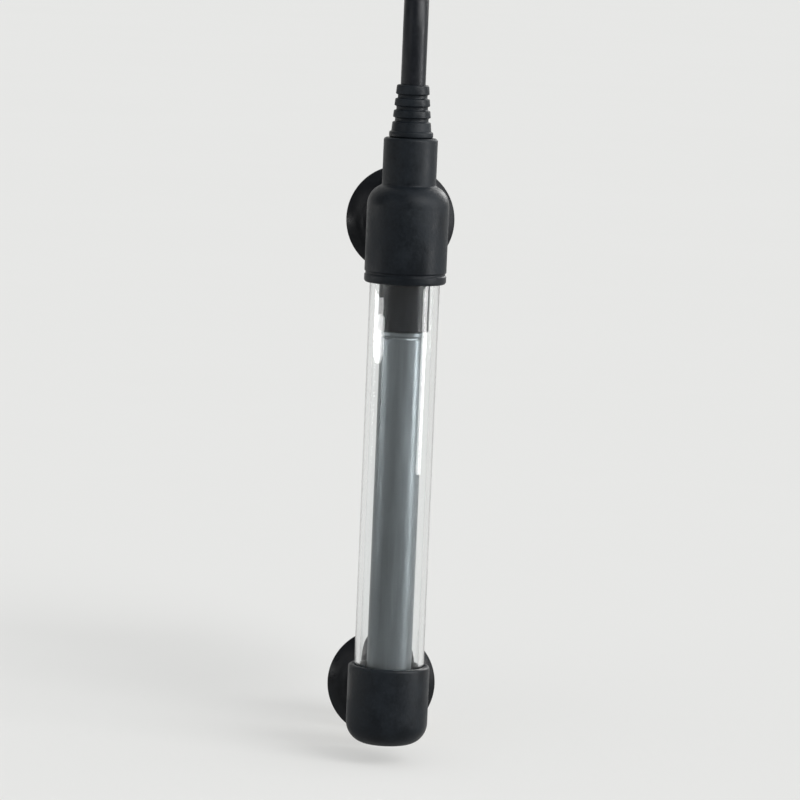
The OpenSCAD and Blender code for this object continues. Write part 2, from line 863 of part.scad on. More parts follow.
// Ceramic foot that closes the sleeve and centres it in the glass
module element_foot() {
    color([0.9, 0.88, 0.84])
    at_tube() difference() {
        union() {
            bar(bore_r - foot_room, foot_z - foot_flange_t, foot_z);
            bar(sleeve_bore_r - seat, foot_z - lap, foot_z + foot_recess + foot_rim);
        }
        bar(band_r + seat, foot_z + foot_recess, foot_z + foot_recess + past);
    }
}

module end_cushion() {
    cushion_r = bore_r - seat;
    color([0.85, 0.86, 0.87])
    at_tube() intersection() {
        union() {
            bar(cushion_r, tube_round_z, foot_z);
            translate([0, 0, tube_round_z]) sphere(cushion_r);
        }
        bar(tube_r, tube_z, foot_z - foot_flange_t - seat);
    }
}

// Lead
module cord_rise() {
    color([0.05, 0.05, 0.06]) in_lead_plane() flat_swept_tube(rise_path, [1, 0, 0], cord_r, cord_sides);
}

module cord_coil() {
    color([0.05, 0.05, 0.06]) in_lead_plane() flat_swept_tube(coil_path, [1, 0, 0], cord_r, coil_sides);
}

module cord_tail() {
    color([0.05, 0.05, 0.06]) in_lead_plane() flat_swept_tube(tail_path, [1, 0, 0], cord_r, cord_sides);
}

// Tie round the front of the coil, where the lead runs in and out
module coil_tie() {
    room = 0.5;
    corner_r = 2;
    columns = ceil(half_turns);
    wide = (columns - 1) * layer_step + cord_d + 2 * room;
    deep = 2 * cord_d + turn_gap + 2 * room;
    color([0.12, 0.12, 0.12])
    in_lead_plane() translate([0, coil_front - cord_r - room, coil_z - tie_h / 2])
        difference() {
            rounded_block(deep / 2 + tie_t, -tie_t, wide + tie_t, tie_h, corner_r + tie_t);
            translate([0, 0, -past]) rounded_block(deep / 2, 0, wide, tie_h + 2 * past, corner_r);
        }
}

// A block with rounded upright edges, from -half to half in x and from y1 to y2
module rounded_block(half, y1, y2, h, r) {
    translate([-half + r, y1, 0]) cube([2 * (half - r), y2 - y1, h]);
    translate([-half, y1 + r, 0]) cube([2 * half, y2 - y1 - 2 * r, h]);
    for (x = [-half + r, half - r])
        for (y = [y1 + r, y2 - r])
            translate([x, y, 0]) cylinder(r = r, h = h);
}

// Plug: its neck meets the lead, and its blades point down
plug_shoulder_h = 4;
plug_corner_r = 3;
plug_inset = 2;
neck_low_wall = 1.9;
neck_top_wall = 0.5;
plug_top_z = plug_z - plug_neck_len;
plug_face_z = plug_top_z - plug_len;

module plug_section(inset, z, h) {
    half_w = plug_w / 2 - 2 * inset;
    translate([0, coil_front, z])
        rounded_block(plug_t / 2 - inset, -half_w, half_w, h, plug_corner_r);
}

module plug_body() {
    color([0.06, 0.06, 0.07])
    in_lead_plane() {
        plug_section(0, plug_face_z, plug_len - plug_shoulder_h);
        hull() {
            plug_section(0, plug_top_z - plug_shoulder_h - thin_lap, thin_lap);
            plug_section(plug_inset, plug_top_z - thin_lap, thin_lap);
        }
        translate([0, coil_front, plug_top_z - lap])
            cylinder(r1 = cord_r + neck_low_wall, r2 = cord_r + neck_top_wall, h = plug_neck_len + lap);
    }
}

module plug_blades() {
    for (side = [-1, 1])
        color([0.8, 0.7, 0.4]) in_lead_plane()
            translate([0, coil_front + side * blade_pitch / 2 - pin_t / 2, plug_face_z])
                rotate([-90, 0, 0]) linear_extrude(pin_t) blade_outline();
}

module blade_outline() {
    point = 1.2;
    hole_drop = 3.8;
    difference() {
        polygon([
            [-pin_w / 2, 0], [pin_w / 2, 0],
            [pin_w / 2, pin_len - point], [pin_w / 2 - point, pin_len],
            [point - pin_w / 2, pin_len], [-pin_w / 2, pin_len - point]
        ]);
        translate([0, pin_len - hole_drop]) circle(d = pin_hole_d);
    }
}

glass_tube();
head_cap();
bottom_cap();
upper_cup();
lower_cup();
cord_gland();
cord_entry();
live_wire();
neutral_wire();
mouth_stopper();
thermostat_base();
thermostat_lid();
blade_post();
bimetal_blade();
blade_rivet();
moving_contact();
fixed_contact();
fixed_arm();
setting_screw();
snap_magnet();
neutral_crimp();
thermal_fuse();
element_sleeve();
ceramic_former();
heating_coil();
upper_band();
lower_band();
return_wire();
element_foot();
end_cushion();
cord_rise();
cord_coil();
cord_tail();
coil_tie();
plug_body();
plug_blades();
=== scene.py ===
"""Submersible aquarium heater: its visible pieces and finishes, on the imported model's frame."""
import math

import bmesh
import bpy
from mathutils import Matrix, Vector


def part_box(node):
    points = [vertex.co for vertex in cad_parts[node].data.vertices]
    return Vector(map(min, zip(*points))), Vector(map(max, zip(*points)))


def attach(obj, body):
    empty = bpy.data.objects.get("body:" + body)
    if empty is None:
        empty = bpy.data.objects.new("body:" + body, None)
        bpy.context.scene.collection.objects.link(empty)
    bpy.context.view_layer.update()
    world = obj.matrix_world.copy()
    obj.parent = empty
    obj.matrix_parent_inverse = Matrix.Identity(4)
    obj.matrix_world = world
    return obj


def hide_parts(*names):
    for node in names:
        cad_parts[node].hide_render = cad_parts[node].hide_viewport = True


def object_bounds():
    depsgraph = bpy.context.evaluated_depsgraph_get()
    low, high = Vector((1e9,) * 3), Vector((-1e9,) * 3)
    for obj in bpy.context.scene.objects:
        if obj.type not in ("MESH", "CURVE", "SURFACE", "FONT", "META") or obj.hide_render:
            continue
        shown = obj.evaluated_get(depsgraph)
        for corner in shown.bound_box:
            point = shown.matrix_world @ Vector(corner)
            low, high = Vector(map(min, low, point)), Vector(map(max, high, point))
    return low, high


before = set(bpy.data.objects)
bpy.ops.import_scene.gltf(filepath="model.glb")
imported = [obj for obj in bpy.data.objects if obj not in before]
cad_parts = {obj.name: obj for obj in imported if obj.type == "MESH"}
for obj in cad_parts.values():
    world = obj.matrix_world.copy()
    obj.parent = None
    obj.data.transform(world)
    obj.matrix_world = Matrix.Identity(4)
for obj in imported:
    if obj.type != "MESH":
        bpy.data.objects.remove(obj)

bl_info = {
    "name": "Aquarium heater",
    "version": (1, 0, 0),
    "blender": (4, 5, 0),
    "location": "3D View > Sidebar > Heater",
    "description": "Glass, rubber, lead and works of a submersible aquarium heater",
    "category": "Object",
}

MM = 0.001
MICRON = 0.000001
CAD_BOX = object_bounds()

# Shapes are written in millimetres and turns in degrees. The wall is the plane y = 0, and
# heights count from the upper cup's centre.
TUBE_Y = -17.0
TUBE_R = 7.0
BORE_R = 6.0
TUBE_ROUND_Z = -95.9
MOUTH_Z = 1.0
RUBBER_R = 8.2
RUBBER_BORE_R = 7.05
HEAD_Z = -11.5
SHOULDER_Z = 4.0
SHOULDER_R = 4.257
NECK_R = 5.4
NECK_FOOT_Z = 8.0
NECK_TOP_Z = 17.5
GLAND_TOP_Z = 28.0
CAP_Z = -104.5
CAP_TOP_Z = -88.5
CAP_EDGE = 4.4
CAP_LIP = 0.6
UPPER_CUP_Z = 0.0
LOWER_CUP_Z = -95.0
BOSS_R = 5.2
CORD_R = 2.5
LEAD_TURN = 5.0
FUSE_X = 2.4

# Route of the lead from the gland's end, as (sideways, away from the tube, up)
RISE = [
    (0, 0, 0), (0, 0, 4), (0, 0, 8), (0, 0.7, 13.4), (0, 2.8, 18.5), (0, 6.2, 22.8),
    (0, 10.5, 26.2), (0, 15.6, 28.3), (0, 21, 29), (0, 26.4, 28.3),
    (0, 31.5, 26.2), (0, 35.8, 22.8), (0, 39.2, 18.5), (0, 41.3, 13.4),
    (0, 42, 8), (0, 42, -4), (0, 42, -16), (0, 42, -24),
    (-0.6, 42, -32), (-1.6, 42, -40), (-2.4, 42, -48), (-2.75, 42, -54),
]
TAIL = [
    (2.75, 42, -69), (2.35, 42, -73), (1.4, 42, -77), (0.4, 42, -81),
    (0, 42, -85), (0, 42, -90),
]
# The coil winds in on one side, crosses over within CROSSING turns of its middle, and winds
# out on the other side. Its ends run straight for COIL_LEAD.
COIL_TURNS = 7
COIL_RINGS = 24
COIL_OUT_R = 39.8149
COIL_FRONT = 42.0
COIL_Z = -64.0
COIL_LEAD = 2.0
COIL_STEP = 5.5
CROSSING = 0.25

# Half the plug body's width, depth and height, its middle, and the shoulder on top of it
PLUG_HALF = (6.5, 10.5, 6.5)
PLUG_MIDDLE = (0, COIL_FRONT, -113.5)
PLUG_SHOULDER_HALF = (4.5, 6.5)
PLUG_SHOULDER_H = 4


# ---- sizes and colours to change

def colour(name, description, default):
    return bpy.props.FloatVectorProperty(
        name=name, description=description, subtype="COLOR", size=3, min=0, max=1,
        default=default)


def length(name, description, default):
    return bpy.props.FloatProperty(
        name=name, description=description, unit="LENGTH", subtype="DISTANCE", min=0,
        default=default)


def turn(name, description, degrees):
    return bpy.props.FloatProperty(
        name=name, description=description, subtype="ANGLE", default=math.radians(degrees))


class HeaterColours(bpy.types.PropertyGroup):
    """Colours of the finishes."""
    rubber: colour("Rubber", "Head, bottom cap and gland", (0.0072, 0.0098, 0.0130))
    cup: colour("Suction cups", "Softer rubber of the two cups", (0.0042, 0.0054, 0.0075))
    jacket: colour("Lead", "Jacket of the lead and the plug", (0.0065, 0.0080, 0.0110))
    glass: colour("Glass", "Tint of the tube", (0.975, 0.985, 0.985))
    sleeve: colour("Sleeve", "Metal sleeve of the element", (0.130, 0.146, 0.154))
    capsule: colour("Capsule", "Moulded case of the thermostat", (0.0060, 0.0068, 0.0085))


class HeaterSizes(bpy.types.PropertyGroup):
    """Small shapes that the frame leaves to the finish."""
    lip_edge: length("Lip edge", "Rounding of the rubber's lips", 0.0006)
    boss_ease: length("Boss fillet", "Fillet where a socket boss meets the round rubber", 0.0010)
    groove: length("Groove", "Depth of the head's ring groove", 0.00022)
    cord_length: length("Lead length", "From the gland to the plug", 1.5)
    cord_diameter: length("Lead diameter", "Across the jacket", 0.005)
    sides: bpy.props.IntProperty(
        name="Sides", description="Sides of a round piece", default=96, min=24)


class HeaterStage(bpy.types.PropertyGroup):
    """Camera and floor."""
    distance: length("Camera distance", "From the middle of the heater", 0.96)
    azimuth: turn("Azimuth", "Camera's turn from the front", -5)
    elevation: turn("Elevation", "Camera's height angle", 6)
    roll: turn("Lean", "Lean of the heater in the frame", 2.4)
    lens: bpy.props.FloatProperty(
        name="Lens", description="Focal length in millimetres", default=216, min=10)
    aim_height: bpy.props.FloatProperty(
        name="Aim height", description="Height at the middle of the frame", unit="LENGTH",
        default=-0.035)
    floor_colour: colour("Floor", "Pale studio floor", (0.80, 0.80, 0.785))


# ---- drawing

def fresh_start():
    """Object mode with nothing selected."""
    if bpy.context.mode != "OBJECT":
        bpy.ops.object.mode_set(mode="OBJECT")
    bpy.ops.object.select_all(action="DESELECT")


def chosen(piece):
    """Object mode with this piece alone selected, and active."""
    fresh_start()
    piece.select_set(True)
    bpy.context.view_layer.objects.active = piece


def select_everything():
    bpy.ops.mesh.select_all(action="SELECT")


def started(name, add, **shape):
    """A new primitive at the origin, in edit mode and selected all over."""
    fresh_start()
    add(location=(0, 0, 0), **shape)
    piece = bpy.context.active_object
    piece.name = piece.data.name = name
    bpy.ops.object.mode_set(mode="EDIT")
    bpy.ops.mesh.select_mode(type="VERT")
    select_everything()
    return piece


def pick(piece, kind, wanted):
    """Selects the edges or faces that the test wants."""
    bpy.ops.mesh.select_mode(type=kind)
    bpy.ops.mesh.select_all(action="DESELECT")
    mesh = bmesh.from_edit_mesh(piece.data)
    for item in mesh.edges if kind == "EDGE" else mesh.faces:
        item.select = wanted(item)
    bmesh.update_edit_mesh(piece.data)


def arc(centre_r, centre_h, radius, start, stop, steps):
    """Points of an arc in an outline; the angles count from the outward direction."""
    angles = [math.radians(start + (stop - start) * i / steps) for i in range(steps + 1)]
    return [(centre_r + radius * math.cos(a), centre_h + radius * math.sin(a)) for a in angles]


def eased(corners, steps=5):
    """An outline whose corners (radius, height, rounding) are rounded, where they have one."""
    points = []
    for i, corner in enumerate(corners):
        if len(corner) < 3:
            points.append(tuple(corner))
            continue
        here = Vector(corner[:2])
        back = (Vector(corners[i - 1][:2]) - here).normalized()
        on = (Vector(corners[i + 1][:2]) - here).normalized()
        half = back.angle(on) / 2
        middle = here + (back + on).normalized() * corner[2] / math.sin(half)
        reach = corner[2] / math.tan(half)
        first = (here + back * reach) - middle
        last = (here + on * reach) - middle
        sweep = first.angle_signed(last)
        for k in range(steps + 1):
            turned_by = Matrix.Rotation(-sweep * k / steps, 2)
            points.append(tuple(middle + turned_by @ first))
    return points


def ring_groove(low_r, high_r, bottom_r, low, high, slope, rounding, bottom_rounding):
    """Corners of a groove between two heights, whose sides slope in to its bottom."""
    return [(low_r, low, rounding), (bottom_r, low + slope, bottom_rounding),
            (bottom_r, high - slope, bottom_rounding), (high_r, high, rounding)]


def in_frame(x, y, z):
    return Vector((x, y, z)) * MM


def turned(name, outline, sides, centre=(0, TUBE_Y, 0), along=(0, 0, 1)):
    """A round body: its half outline of (radius, height) is drawn out and spun about an axis."""
    centre, along, out = in_frame(*centre), Vector(along), Vector((1, 0, 0))
    spots = [centre + (out * r + along * h) * MM for r, h in outline]
    piece = started(name, bpy.ops.mesh.primitive_plane_add, size=MM)
    bpy.ops.mesh.merge(type="CENTER")
    bpy.ops.transform.translate(value=spots[0])
    for here, there in zip(spots, spots[1:]):
        bpy.ops.mesh.extrude_region_move(TRANSFORM_OT_translate={"value": there - here})
    select_everything()
    bpy.ops.mesh.spin(steps=sides, angle=2 * math.pi, center=centre, axis=along)
    close_seams()
    return piece


def close_seams():
    """Doubles are merged, and then the faces are turned outwards."""
    select_everything()
    bpy.ops.mesh.remove_doubles(threshold=1e-6)
    bpy.ops.mesh.dissolve_degenerate(threshold=1e-7)
    select_everything()
    bpy.ops.mesh.normals_make_consistent(inside=False)


def smooth(piece, angle):
    """Round surfaces look round and real edges stay crisp."""
    chosen(piece)
    bpy.ops.object.shade_smooth_by_angle(angle=math.radians(angle))


def modified(piece, kind, **settings):
    """The piece gets a modifier with these settings, and it is applied."""
    chosen(piece)
    step = piece.modifiers.new(kind.lower(), kind)
    for setting, value in settings.items():
        setattr(step, setting, value)
    bpy.ops.object.modifier_apply(modifier=step.name)


def bevelled(piece, width, segments, angle):
    """Edges sharper than the angle are rounded."""
    modified(piece, "BEVEL", width=width, segments=segments, limit_method="ANGLE",
             angle_limit=math.radians(angle))


def combined(piece, other, operation):
    """The other solid is added to the piece, or cut out of it, and is then gone."""
    modified(piece, "BOOLEAN", operation=operation, solver="EXACT", object=other)
    bpy.data.objects.remove(other)


def line(name, points, radius, fine):
    """A smooth round wire or lead through the points; points and radius are in metres."""
    shape = bpy.data.curves.new(name, "CURVE")
    shape.dimensions = "3D"
    shape.bevel_depth = radius
    shape.bevel_resolution = fine
    shape.resolution_u = 4
    shape.use_fill_caps = True
    spline = shape.splines.new("BEZIER")
    spline.bezier_points.add(len(points) - 1)
    for knot, place in zip(spline.bezier_points, points):
        knot.co = place
        knot.handle_left_type = knot.handle_right_type = "AUTO"
    piece = bpy.data.objects.new(name, shape)
    bpy.context.scene.collection.objects.link(piece)
    return piece


def wire(name, route, radius, fine):
    """A wire along the tube through points (sideways, up), as a mesh with its seams closed."""
    return made_mesh(line(name, [in_frame(x, TUBE_Y, z) for x, z in route], radius * MM, fine))


def made_mesh(piece):
    """A wire's curve becomes a mesh with its seams closed."""
    chosen(piece)
    bpy.ops.object.convert(target="MESH")
    bpy.ops.object.mode_set(mode="EDIT")
    close_seams()
    smooth(piece, 50)
    return piece


def dressed(piece, slot, body, *nodes):
    """The piece gets the finish of its slot and goes under its body; the CAD nodes that it stands
    for are hidden.
    """
    fresh_start()
    piece.data.materials.clear()
    piece.data.materials.append(finish_of(slot))
    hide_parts(*nodes)
    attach(piece, body)


# ---- nodes

def feed(tree, socket, value):
    """The socket gets a number, a colour or a link."""
    if isinstance(value, (int, float)):
        socket.default_value = value
    elif isinstance(value, tuple):
        socket.default_value = (*value[:3], 1.0)
    else:
        tree.links.new(value, socket)


def fill(tree, node, **inputs):
    """Each named input is fed; underscores stand for spaces."""
    for label, value in inputs.items():
        feed(tree, node.inputs[label.replace("_", " ")], value)


def added(tree, kind, **inputs):
    """A new shader node with its inputs filled."""
    node = tree.nodes.new("ShaderNode" + kind)
    fill(tree, node, **inputs)
    return node


def noise(tree, place, scale, detail, roughness):
    return added(tree, "TexNoise", Vector=place, Scale=scale, Detail=detail,
                 Roughness=roughness).outputs["Fac"]


def maths(tree, operation, *values):
    node = added(tree, "Math")
    node.operation = operation
    for socket, value in zip(node.inputs, values):
        feed(tree, socket, value)
    return node.outputs[0]


def times(tree, first, second):
    return maths(tree, "MULTIPLY", first, second)


def plus(tree, first, second):
    return maths(tree, "ADD", first, second)


def all_but(tree, share):
    return maths(tree, "SUBTRACT", 1.0, share)


def ranged(tree, value, low, high, to_low=0.0, to_high=1.0):
    """The value's range, low to high, becomes another range, with soft ends."""
    node = added(tree, "MapRange", Value=value, From_Min=low, From_Max=high, To_Min=to_low,
                 To_Max=to_high)
    node.interpolation_type = "SMOOTHSTEP"
    return node.outputs["Result"]


def blended(tree, factor, first, second):
    node = added(tree, "Mix")
    node.data_type = "RGBA"
    tones = [s for s in node.inputs if s.type == "RGBA"]
    for socket, value in ((node.inputs[0], factor), (tones[0], first), (tones[1], second)):
        feed(tree, socket, value)
    return [s for s in node.outputs if s.type == "RGBA"][0]


def x_and_y(tree, place):
    split = added(tree, "SeparateXYZ", Vector=place)
    return split.outputs["X"], split.outputs["Y"]


def mixed(tree, share, first, second, out):
    """The output gets two shaders, the second by its share."""
    mix = added(tree, "MixShader")
    for socket, value in zip(mix.inputs, (share, first.outputs[0], second.outputs[0])):
        tree.links.new(value, socket)
    fill(tree, out, Surface=mix.outputs["Shader"])


def relief(tree, skin, height, depth, strength):
    """Fine relief from a height, with its depth in microns, on the shader's normal."""
    bump = added(tree, "Bump", Height=height, Distance=depth * MICRON, Strength=strength)
    fill(tree, skin, Normal=bump.outputs["Normal"])


# ---- finishes

def new_group(name, inputs, outputs):
    """A node group with named sockets: its tree, what it is given, and its output node."""
    tree = bpy.data.node_groups.new(name, "ShaderNodeTree")
    for label, kind, value in inputs:
        socket = tree.interface.new_socket(label, in_out="INPUT", socket_type="NodeSocket" + kind)
        if value is not None:
            socket.default_value = value
    for label, kind in outputs:
        tree.interface.new_socket(label, in_out="OUTPUT", socket_type="NodeSocket" + kind)
    given = tree.nodes.new("NodeGroupInput")
    return tree, given.outputs, tree.nodes.new("NodeGroupOutput")


def mottle_group():
    """Slow and fine variation between two tones."""
    tree, given, made = new_group(
        "Mottle",
        [("Place", "Vector", None), ("Scale", "Float", 200.0),
         ("First", "Color", (0.1, 0.1, 0.1, 1)), ("Second", "Color", (0.2, 0.2, 0.2, 1))],
        [("Color", "Color"), ("Mask", "Float")])
    slow = noise(tree, given["Place"], given["Scale"], 4, 0.55)
    fine = noise(tree, given["Place"], times(tree, given["Scale"], 9.0), 3, 0.6)
    both = plus(tree, times(tree, slow, 0.7), times(tree, fine, 0.3))
    mask = ranged(tree, both, 0.32, 0.68)
    fill(tree, made, Color=blended(tree, mask, given["First"], given["Second"]), Mask=mask)
    return tree


def grain_group():
    """Relief of a moulding: shallow cells with finer noise over them."""
    tree, given, made = new_group(
        "Moulded grain",
        [("Place", "Vector", None), ("Scale", "Float", 2000.0)],
        [("Height", "Float")])
    cells = added(tree, "TexVoronoi", Vector=given["Place"], Scale=given["Scale"])
    cells.feature = "SMOOTH_F1"
    fine = noise(tree, given["Place"], times(tree, given["Scale"], 1.7), 3, 0.6)
    height = plus(tree, times(tree, cells.outputs["Distance"], 0.55), times(tree, fine, 0.45))
    fill(tree, made, Height=height)
    return tree


def film_group():
    """Dried water film: soft patches, finer drifts in them, and specks."""
    tree, given, made = new_group(
        "Dried film",
        [("Place", "Vector", None), ("Scale", "Float", 60.0), ("Amount", "Float", 0.3)],
        [("Mask", "Float")])
    place, scale = given["Place"], given["Scale"]
    patches = ranged(tree, noise(tree, place, scale, 4, 0.6), 0.48, 0.66)
    drift = noise(tree, place, times(tree, scale, 7.0), 4, 0.65)
    drifts = ranged(tree, drift, 0.35, 0.65, 0.35, 1.0)
    speck = noise(tree, place, times(tree, scale, 30.0), 2, 0.5)
    specks = ranged(tree, speck, 0.58, 0.72)
    body = maths(tree, "MAXIMUM", times(tree, patches, drifts), times(tree, specks, 0.5))
    fill(tree, made, Mask=times(tree, body, given["Amount"]))
    return tree


GROUP_MAKERS = {"mottle": mottle_group, "grain": grain_group, "film": film_group}
GROUPS = {}


def placed_group(tree, key, place, **values):
    """A shared group in a material, with this material's own values."""
    if key not in GROUPS:
        GROUPS[key] = GROUP_MAKERS[key]()
    node = added(tree, "Group")
    node.node_tree = GROUPS[key]
    fill(tree, node, Place=place, **values)
    return node.outputs


def scaled(tones, factor):
    return tuple(min(1.0, t * factor) for t in tones)


def start_material(name, stretch=None):
    """A material with its output, its Principled shader and the piece's own coordinates."""
    material = bpy.data.materials.new(name)
    material.use_nodes = True
    tree = material.node_tree
    tree.nodes.clear()
    skin = added(tree, "BsdfPrincipled")
    out = added(tree, "OutputMaterial", Surface=skin.outputs["BSDF"])
    where = added(tree, "TexCoord").outputs["Object"]
    if stretch:
        mapping = added(tree, "Mapping", Vector=where)
        mapping.inputs["Scale"].default_value = stretch
        where = mapping.outputs["Vector"]
    return material, tree, skin, out, where


def finish(name, tone, spread, scale, rough, grain, film=None, stretch=None, **plain):
    """An opaque finish: mottled tone, uneven roughness, fine relief and a thin dried film.

    Grain is (scale, depth in microns) and film is (amount, scale, tone).
    """
    material, tree, skin, _, where = start_material(name, stretch)
    mottle = placed_group(tree, "mottle", where, Scale=scale, First=scaled(tone, 1 / spread),
                          Second=scaled(tone, spread))
    base, roughness = mottle["Color"], ranged(tree, mottle["Mask"], 0.0, 1.0, *rough)
    if film:
        amount, film_scale, film_tone = film
        dried = placed_group(tree, "film", where, Scale=film_scale, Amount=amount)["Mask"]
        base = blended(tree, dried, base, film_tone)
        roughness = plus(tree, roughness, times(tree, dried, 0.25))
    fill(tree, skin, Base_Color=base, Roughness=roughness, **plain)
    height = placed_group(tree, "grain", where, Scale=grain[0])["Height"]
    relief(tree, skin, height, grain[1], strength=0.6)
    return material


def glass_finish(name, tint):
    """Drawn glass: faint waviness, a breath of dried film, and lamps shine through it."""
    material, tree, skin, out, where = start_material(name)
    mottle = placed_group(tree, "mottle", where, Scale=40, First=scaled(tint, 0.985), Second=tint)
    dried = placed_group(tree, "film", where, Scale=45, Amount=0.012)["Mask"]
    fill(tree, skin, Base_Color=mottle["Color"], Roughness=plus(tree, dried, 0.004),
         IOR=1.474, Transmission_Weight=1.0)
    relief(tree, skin, noise(tree, where, 90, 1, 0.4), 40, strength=0.25)
    clear = added(tree, "BsdfTransparent", Color=scaled(tint, 0.97))
    lamps_through = added(tree, "LightPath").outputs["Is Shadow Ray"]
    mixed(tree, lamps_through, skin, clear, out)
    return material


def fuse_finish(name, body, lead, axis, lead_r):
    """A fuse in one piece: a pale body, and bare tinned lead within a radius of its axis."""
    material, tree, skin, _, where = start_material(name)
    mottle = placed_group(tree, "mottle", where, Scale=320, First=scaled(body, 0.9),
                          Second=scaled(body, 1.05))
    squares = [maths(tree, "POWER", maths(tree, "SUBTRACT", side, middle), 2.0)
               for side, middle in zip(x_and_y(tree, where), axis)]
    bare = maths(tree, "LESS_THAN", maths(tree, "SQRT", plus(tree, *squares)), lead_r)
    fill(tree, skin, Base_Color=blended(tree, bare, mottle["Color"], lead), Metallic=bare,
         Roughness=ranged(tree, mottle["Mask"], 0.0, 1.0, 0.34, 0.5))
    height = placed_group(tree, "grain", where, Scale=3000)["Height"]
    relief(tree, skin, height, 12, strength=0.5)
    return material


def made_finishes(colours):
    """Every finish of the heater, by its slot's name."""
    smudge, insulation = (0.10, 0.11, 0.11), (1.15, 320, (0.38, 0.46), (3000, 10))
    tin = (0.64, 0.64, 0.63)
    return {
        "black_rubber": finish(
            "black rubber", colours.rubber, 1.45, 160, rough=(0.36, 0.56),
            grain=(1500, 50), film=(0.06, 70, smudge), Specular_IOR_Level=0.15),
        "cup_rubber": finish(
            "cup rubber", colours.cup, 1.4, 140, rough=(0.27, 0.45),
            grain=(2200, 30), film=(0.05, 80, smudge), Specular_IOR_Level=0.18),
        "lead_jacket": finish(
            "lead jacket", colours.jacket, 1.4, 180, rough=(0.32, 0.50),
            grain=(1900, 30), film=(0.05, 90, smudge), Specular_IOR_Level=0.22),
        "clear_glass": glass_finish("clear glass", tuple(colours.glass)),
        "black_bakelite": finish(
            "capsule moulding", colours.capsule, 1.3, 420, rough=(0.3, 0.38),
            grain=(2400, 10), Specular_IOR_Level=0.22),
        "sleeve_metal": finish(
            "sleeve metal", colours.sleeve, 1.16, 260, rough=(0.27, 0.42),
            grain=(2600, 16), film=(0.10, 60, (0.40, 0.41, 0.41)),
            stretch=(1, 1, 0.045), Metallic=0.72),
        "grey_silicone": finish(
            "grey silicone", (0.20, 0.21, 0.22), 1.2, 260, rough=(0.5, 0.6),
            grain=(2200, 20)),
        "clear_silicone": finish(
            "milky silicone", (0.72, 0.74, 0.74), 1.06, 260, rough=(0.35, 0.45),
            grain=(1800, 20), Subsurface_Weight=0.25, Subsurface_Scale=0.002),
        "brown_insulation": finish("brown insulation", (0.16, 0.062, 0.026), *insulation),
        "blue_insulation": finish("blue insulation", (0.035, 0.11, 0.36), *insulation),
        "brass": finish(
            "brass", (0.70, 0.50, 0.20), 1.12, 300, rough=(0.24, 0.4), grain=(2600, 6),
            film=(0.12, 160, (0.30, 0.19, 0.08)), stretch=(1, 1, 0.12), Metallic=1.0),
        "bimetal": finish(
            "bimetal", (0.60, 0.59, 0.56), 1.12, 380, rough=(0.25, 0.36),
            grain=(2600, 6), film=(0.1, 200, (0.36, 0.30, 0.22)),
            stretch=(1, 1, 0.1), Metallic=1.0),
        "silver": finish(
            "contact silver", (0.80, 0.80, 0.79), 1.06, 500, rough=(0.16, 0.28),
            grain=(4000, 4), film=(0.14, 400, (0.22, 0.20, 0.18)), Metallic=1.0),
        "magnet": finish(
            "sintered magnet", (0.09, 0.09, 0.095), 1.4, 900, rough=(0.5, 0.7),
            grain=(5000, 20), Metallic=0.6),
        "tinned_copper": finish(
            "tinned copper", tin, 1.12, 420, rough=(0.28, 0.4), grain=(3000, 8),
            film=(0.1, 240, (0.45, 0.30, 0.2)), Metallic=1.0),
        "ceramic": finish(
            "ceramic", (0.74, 0.71, 0.65), 1.06, 300, rough=(0.6, 0.75),
            grain=(3600, 20), film=(0.06, 200, (0.50, 0.44, 0.36))),
        "resistance_wire": finish(
            "resistance wire", (0.34, 0.31, 0.28), 1.3, 480, rough=(0.34, 0.5),
            grain=(3000, 10), film=(0.14, 260, (0.12, 0.08, 0.07)), Metallic=1.0),
        "fuse_body": fuse_finish(
            "fuse body", (0.68, 0.64, 0.55), tin, in_frame(FUSE_X, TUBE_Y, 0), 0.45 * MM),
        "plug_blade": finish(
            "plug blade brass", (0.74, 0.55, 0.25), 1.1, 260, rough=(0.2, 0.34),
            grain=(2600, 6), film=(0.14, 120, (0.34, 0.23, 0.11)),
            stretch=(1, 1, 0.08), Metallic=1.0),
    }


FINISHES = {}


def finish_of(slot):
    if not FINISHES:
        FINISHES.update(made_finishes(bpy.context.scene.heater_colours))
    return FINISHES[slot]


# ---- stage

# Lengths of the stage are in metres
FLOOR_SIZE = 60
FLOOR_GAP = 0.0004
FLOOR_GLOW = 0.62

# The surroundings are lighter towards this side
LIT_SIDE = (0.86, 0.12, 0.50)
# Reflections see a dim room on the camera's side, and a pale one on the far side
CAMERA_SIDE = (-0.15, -0.98, 0.1)
FAR_SIDE = (0.35, 0.94, 0.0)

# Lamps that show in gloss and glass alone: name, place, width, height, watts
LAMPS = (
    ("key", (0.85, -0.60, 0.62), 0.5, 0.5, 5.0),
    ("fill", (-0.9, -0.7, 0.35), 0.7, 0.7, 2.0),
    ("edge", (0.46, -0.16, 0.02), 0.10, 0.5, 2.2),
    ("rim", (0.55, 0.75, 0.40), 0.5, 0.5, 4.0),
    ("strip", (-0.40, 0.02, -0.05), 0.30, 0.032, 0.24),
)
# A wide sun gives the light on all that is dull
SUN_STRENGTH = 2.0
SUN_WIDTH = 40
SUN_SIDE = (0.55, -0.65, 0.6)


def aimed(direction):
    """Turns a lamp or camera so that it looks against the direction."""
    return Vector(direction).to_track_quat("Z", "Y")


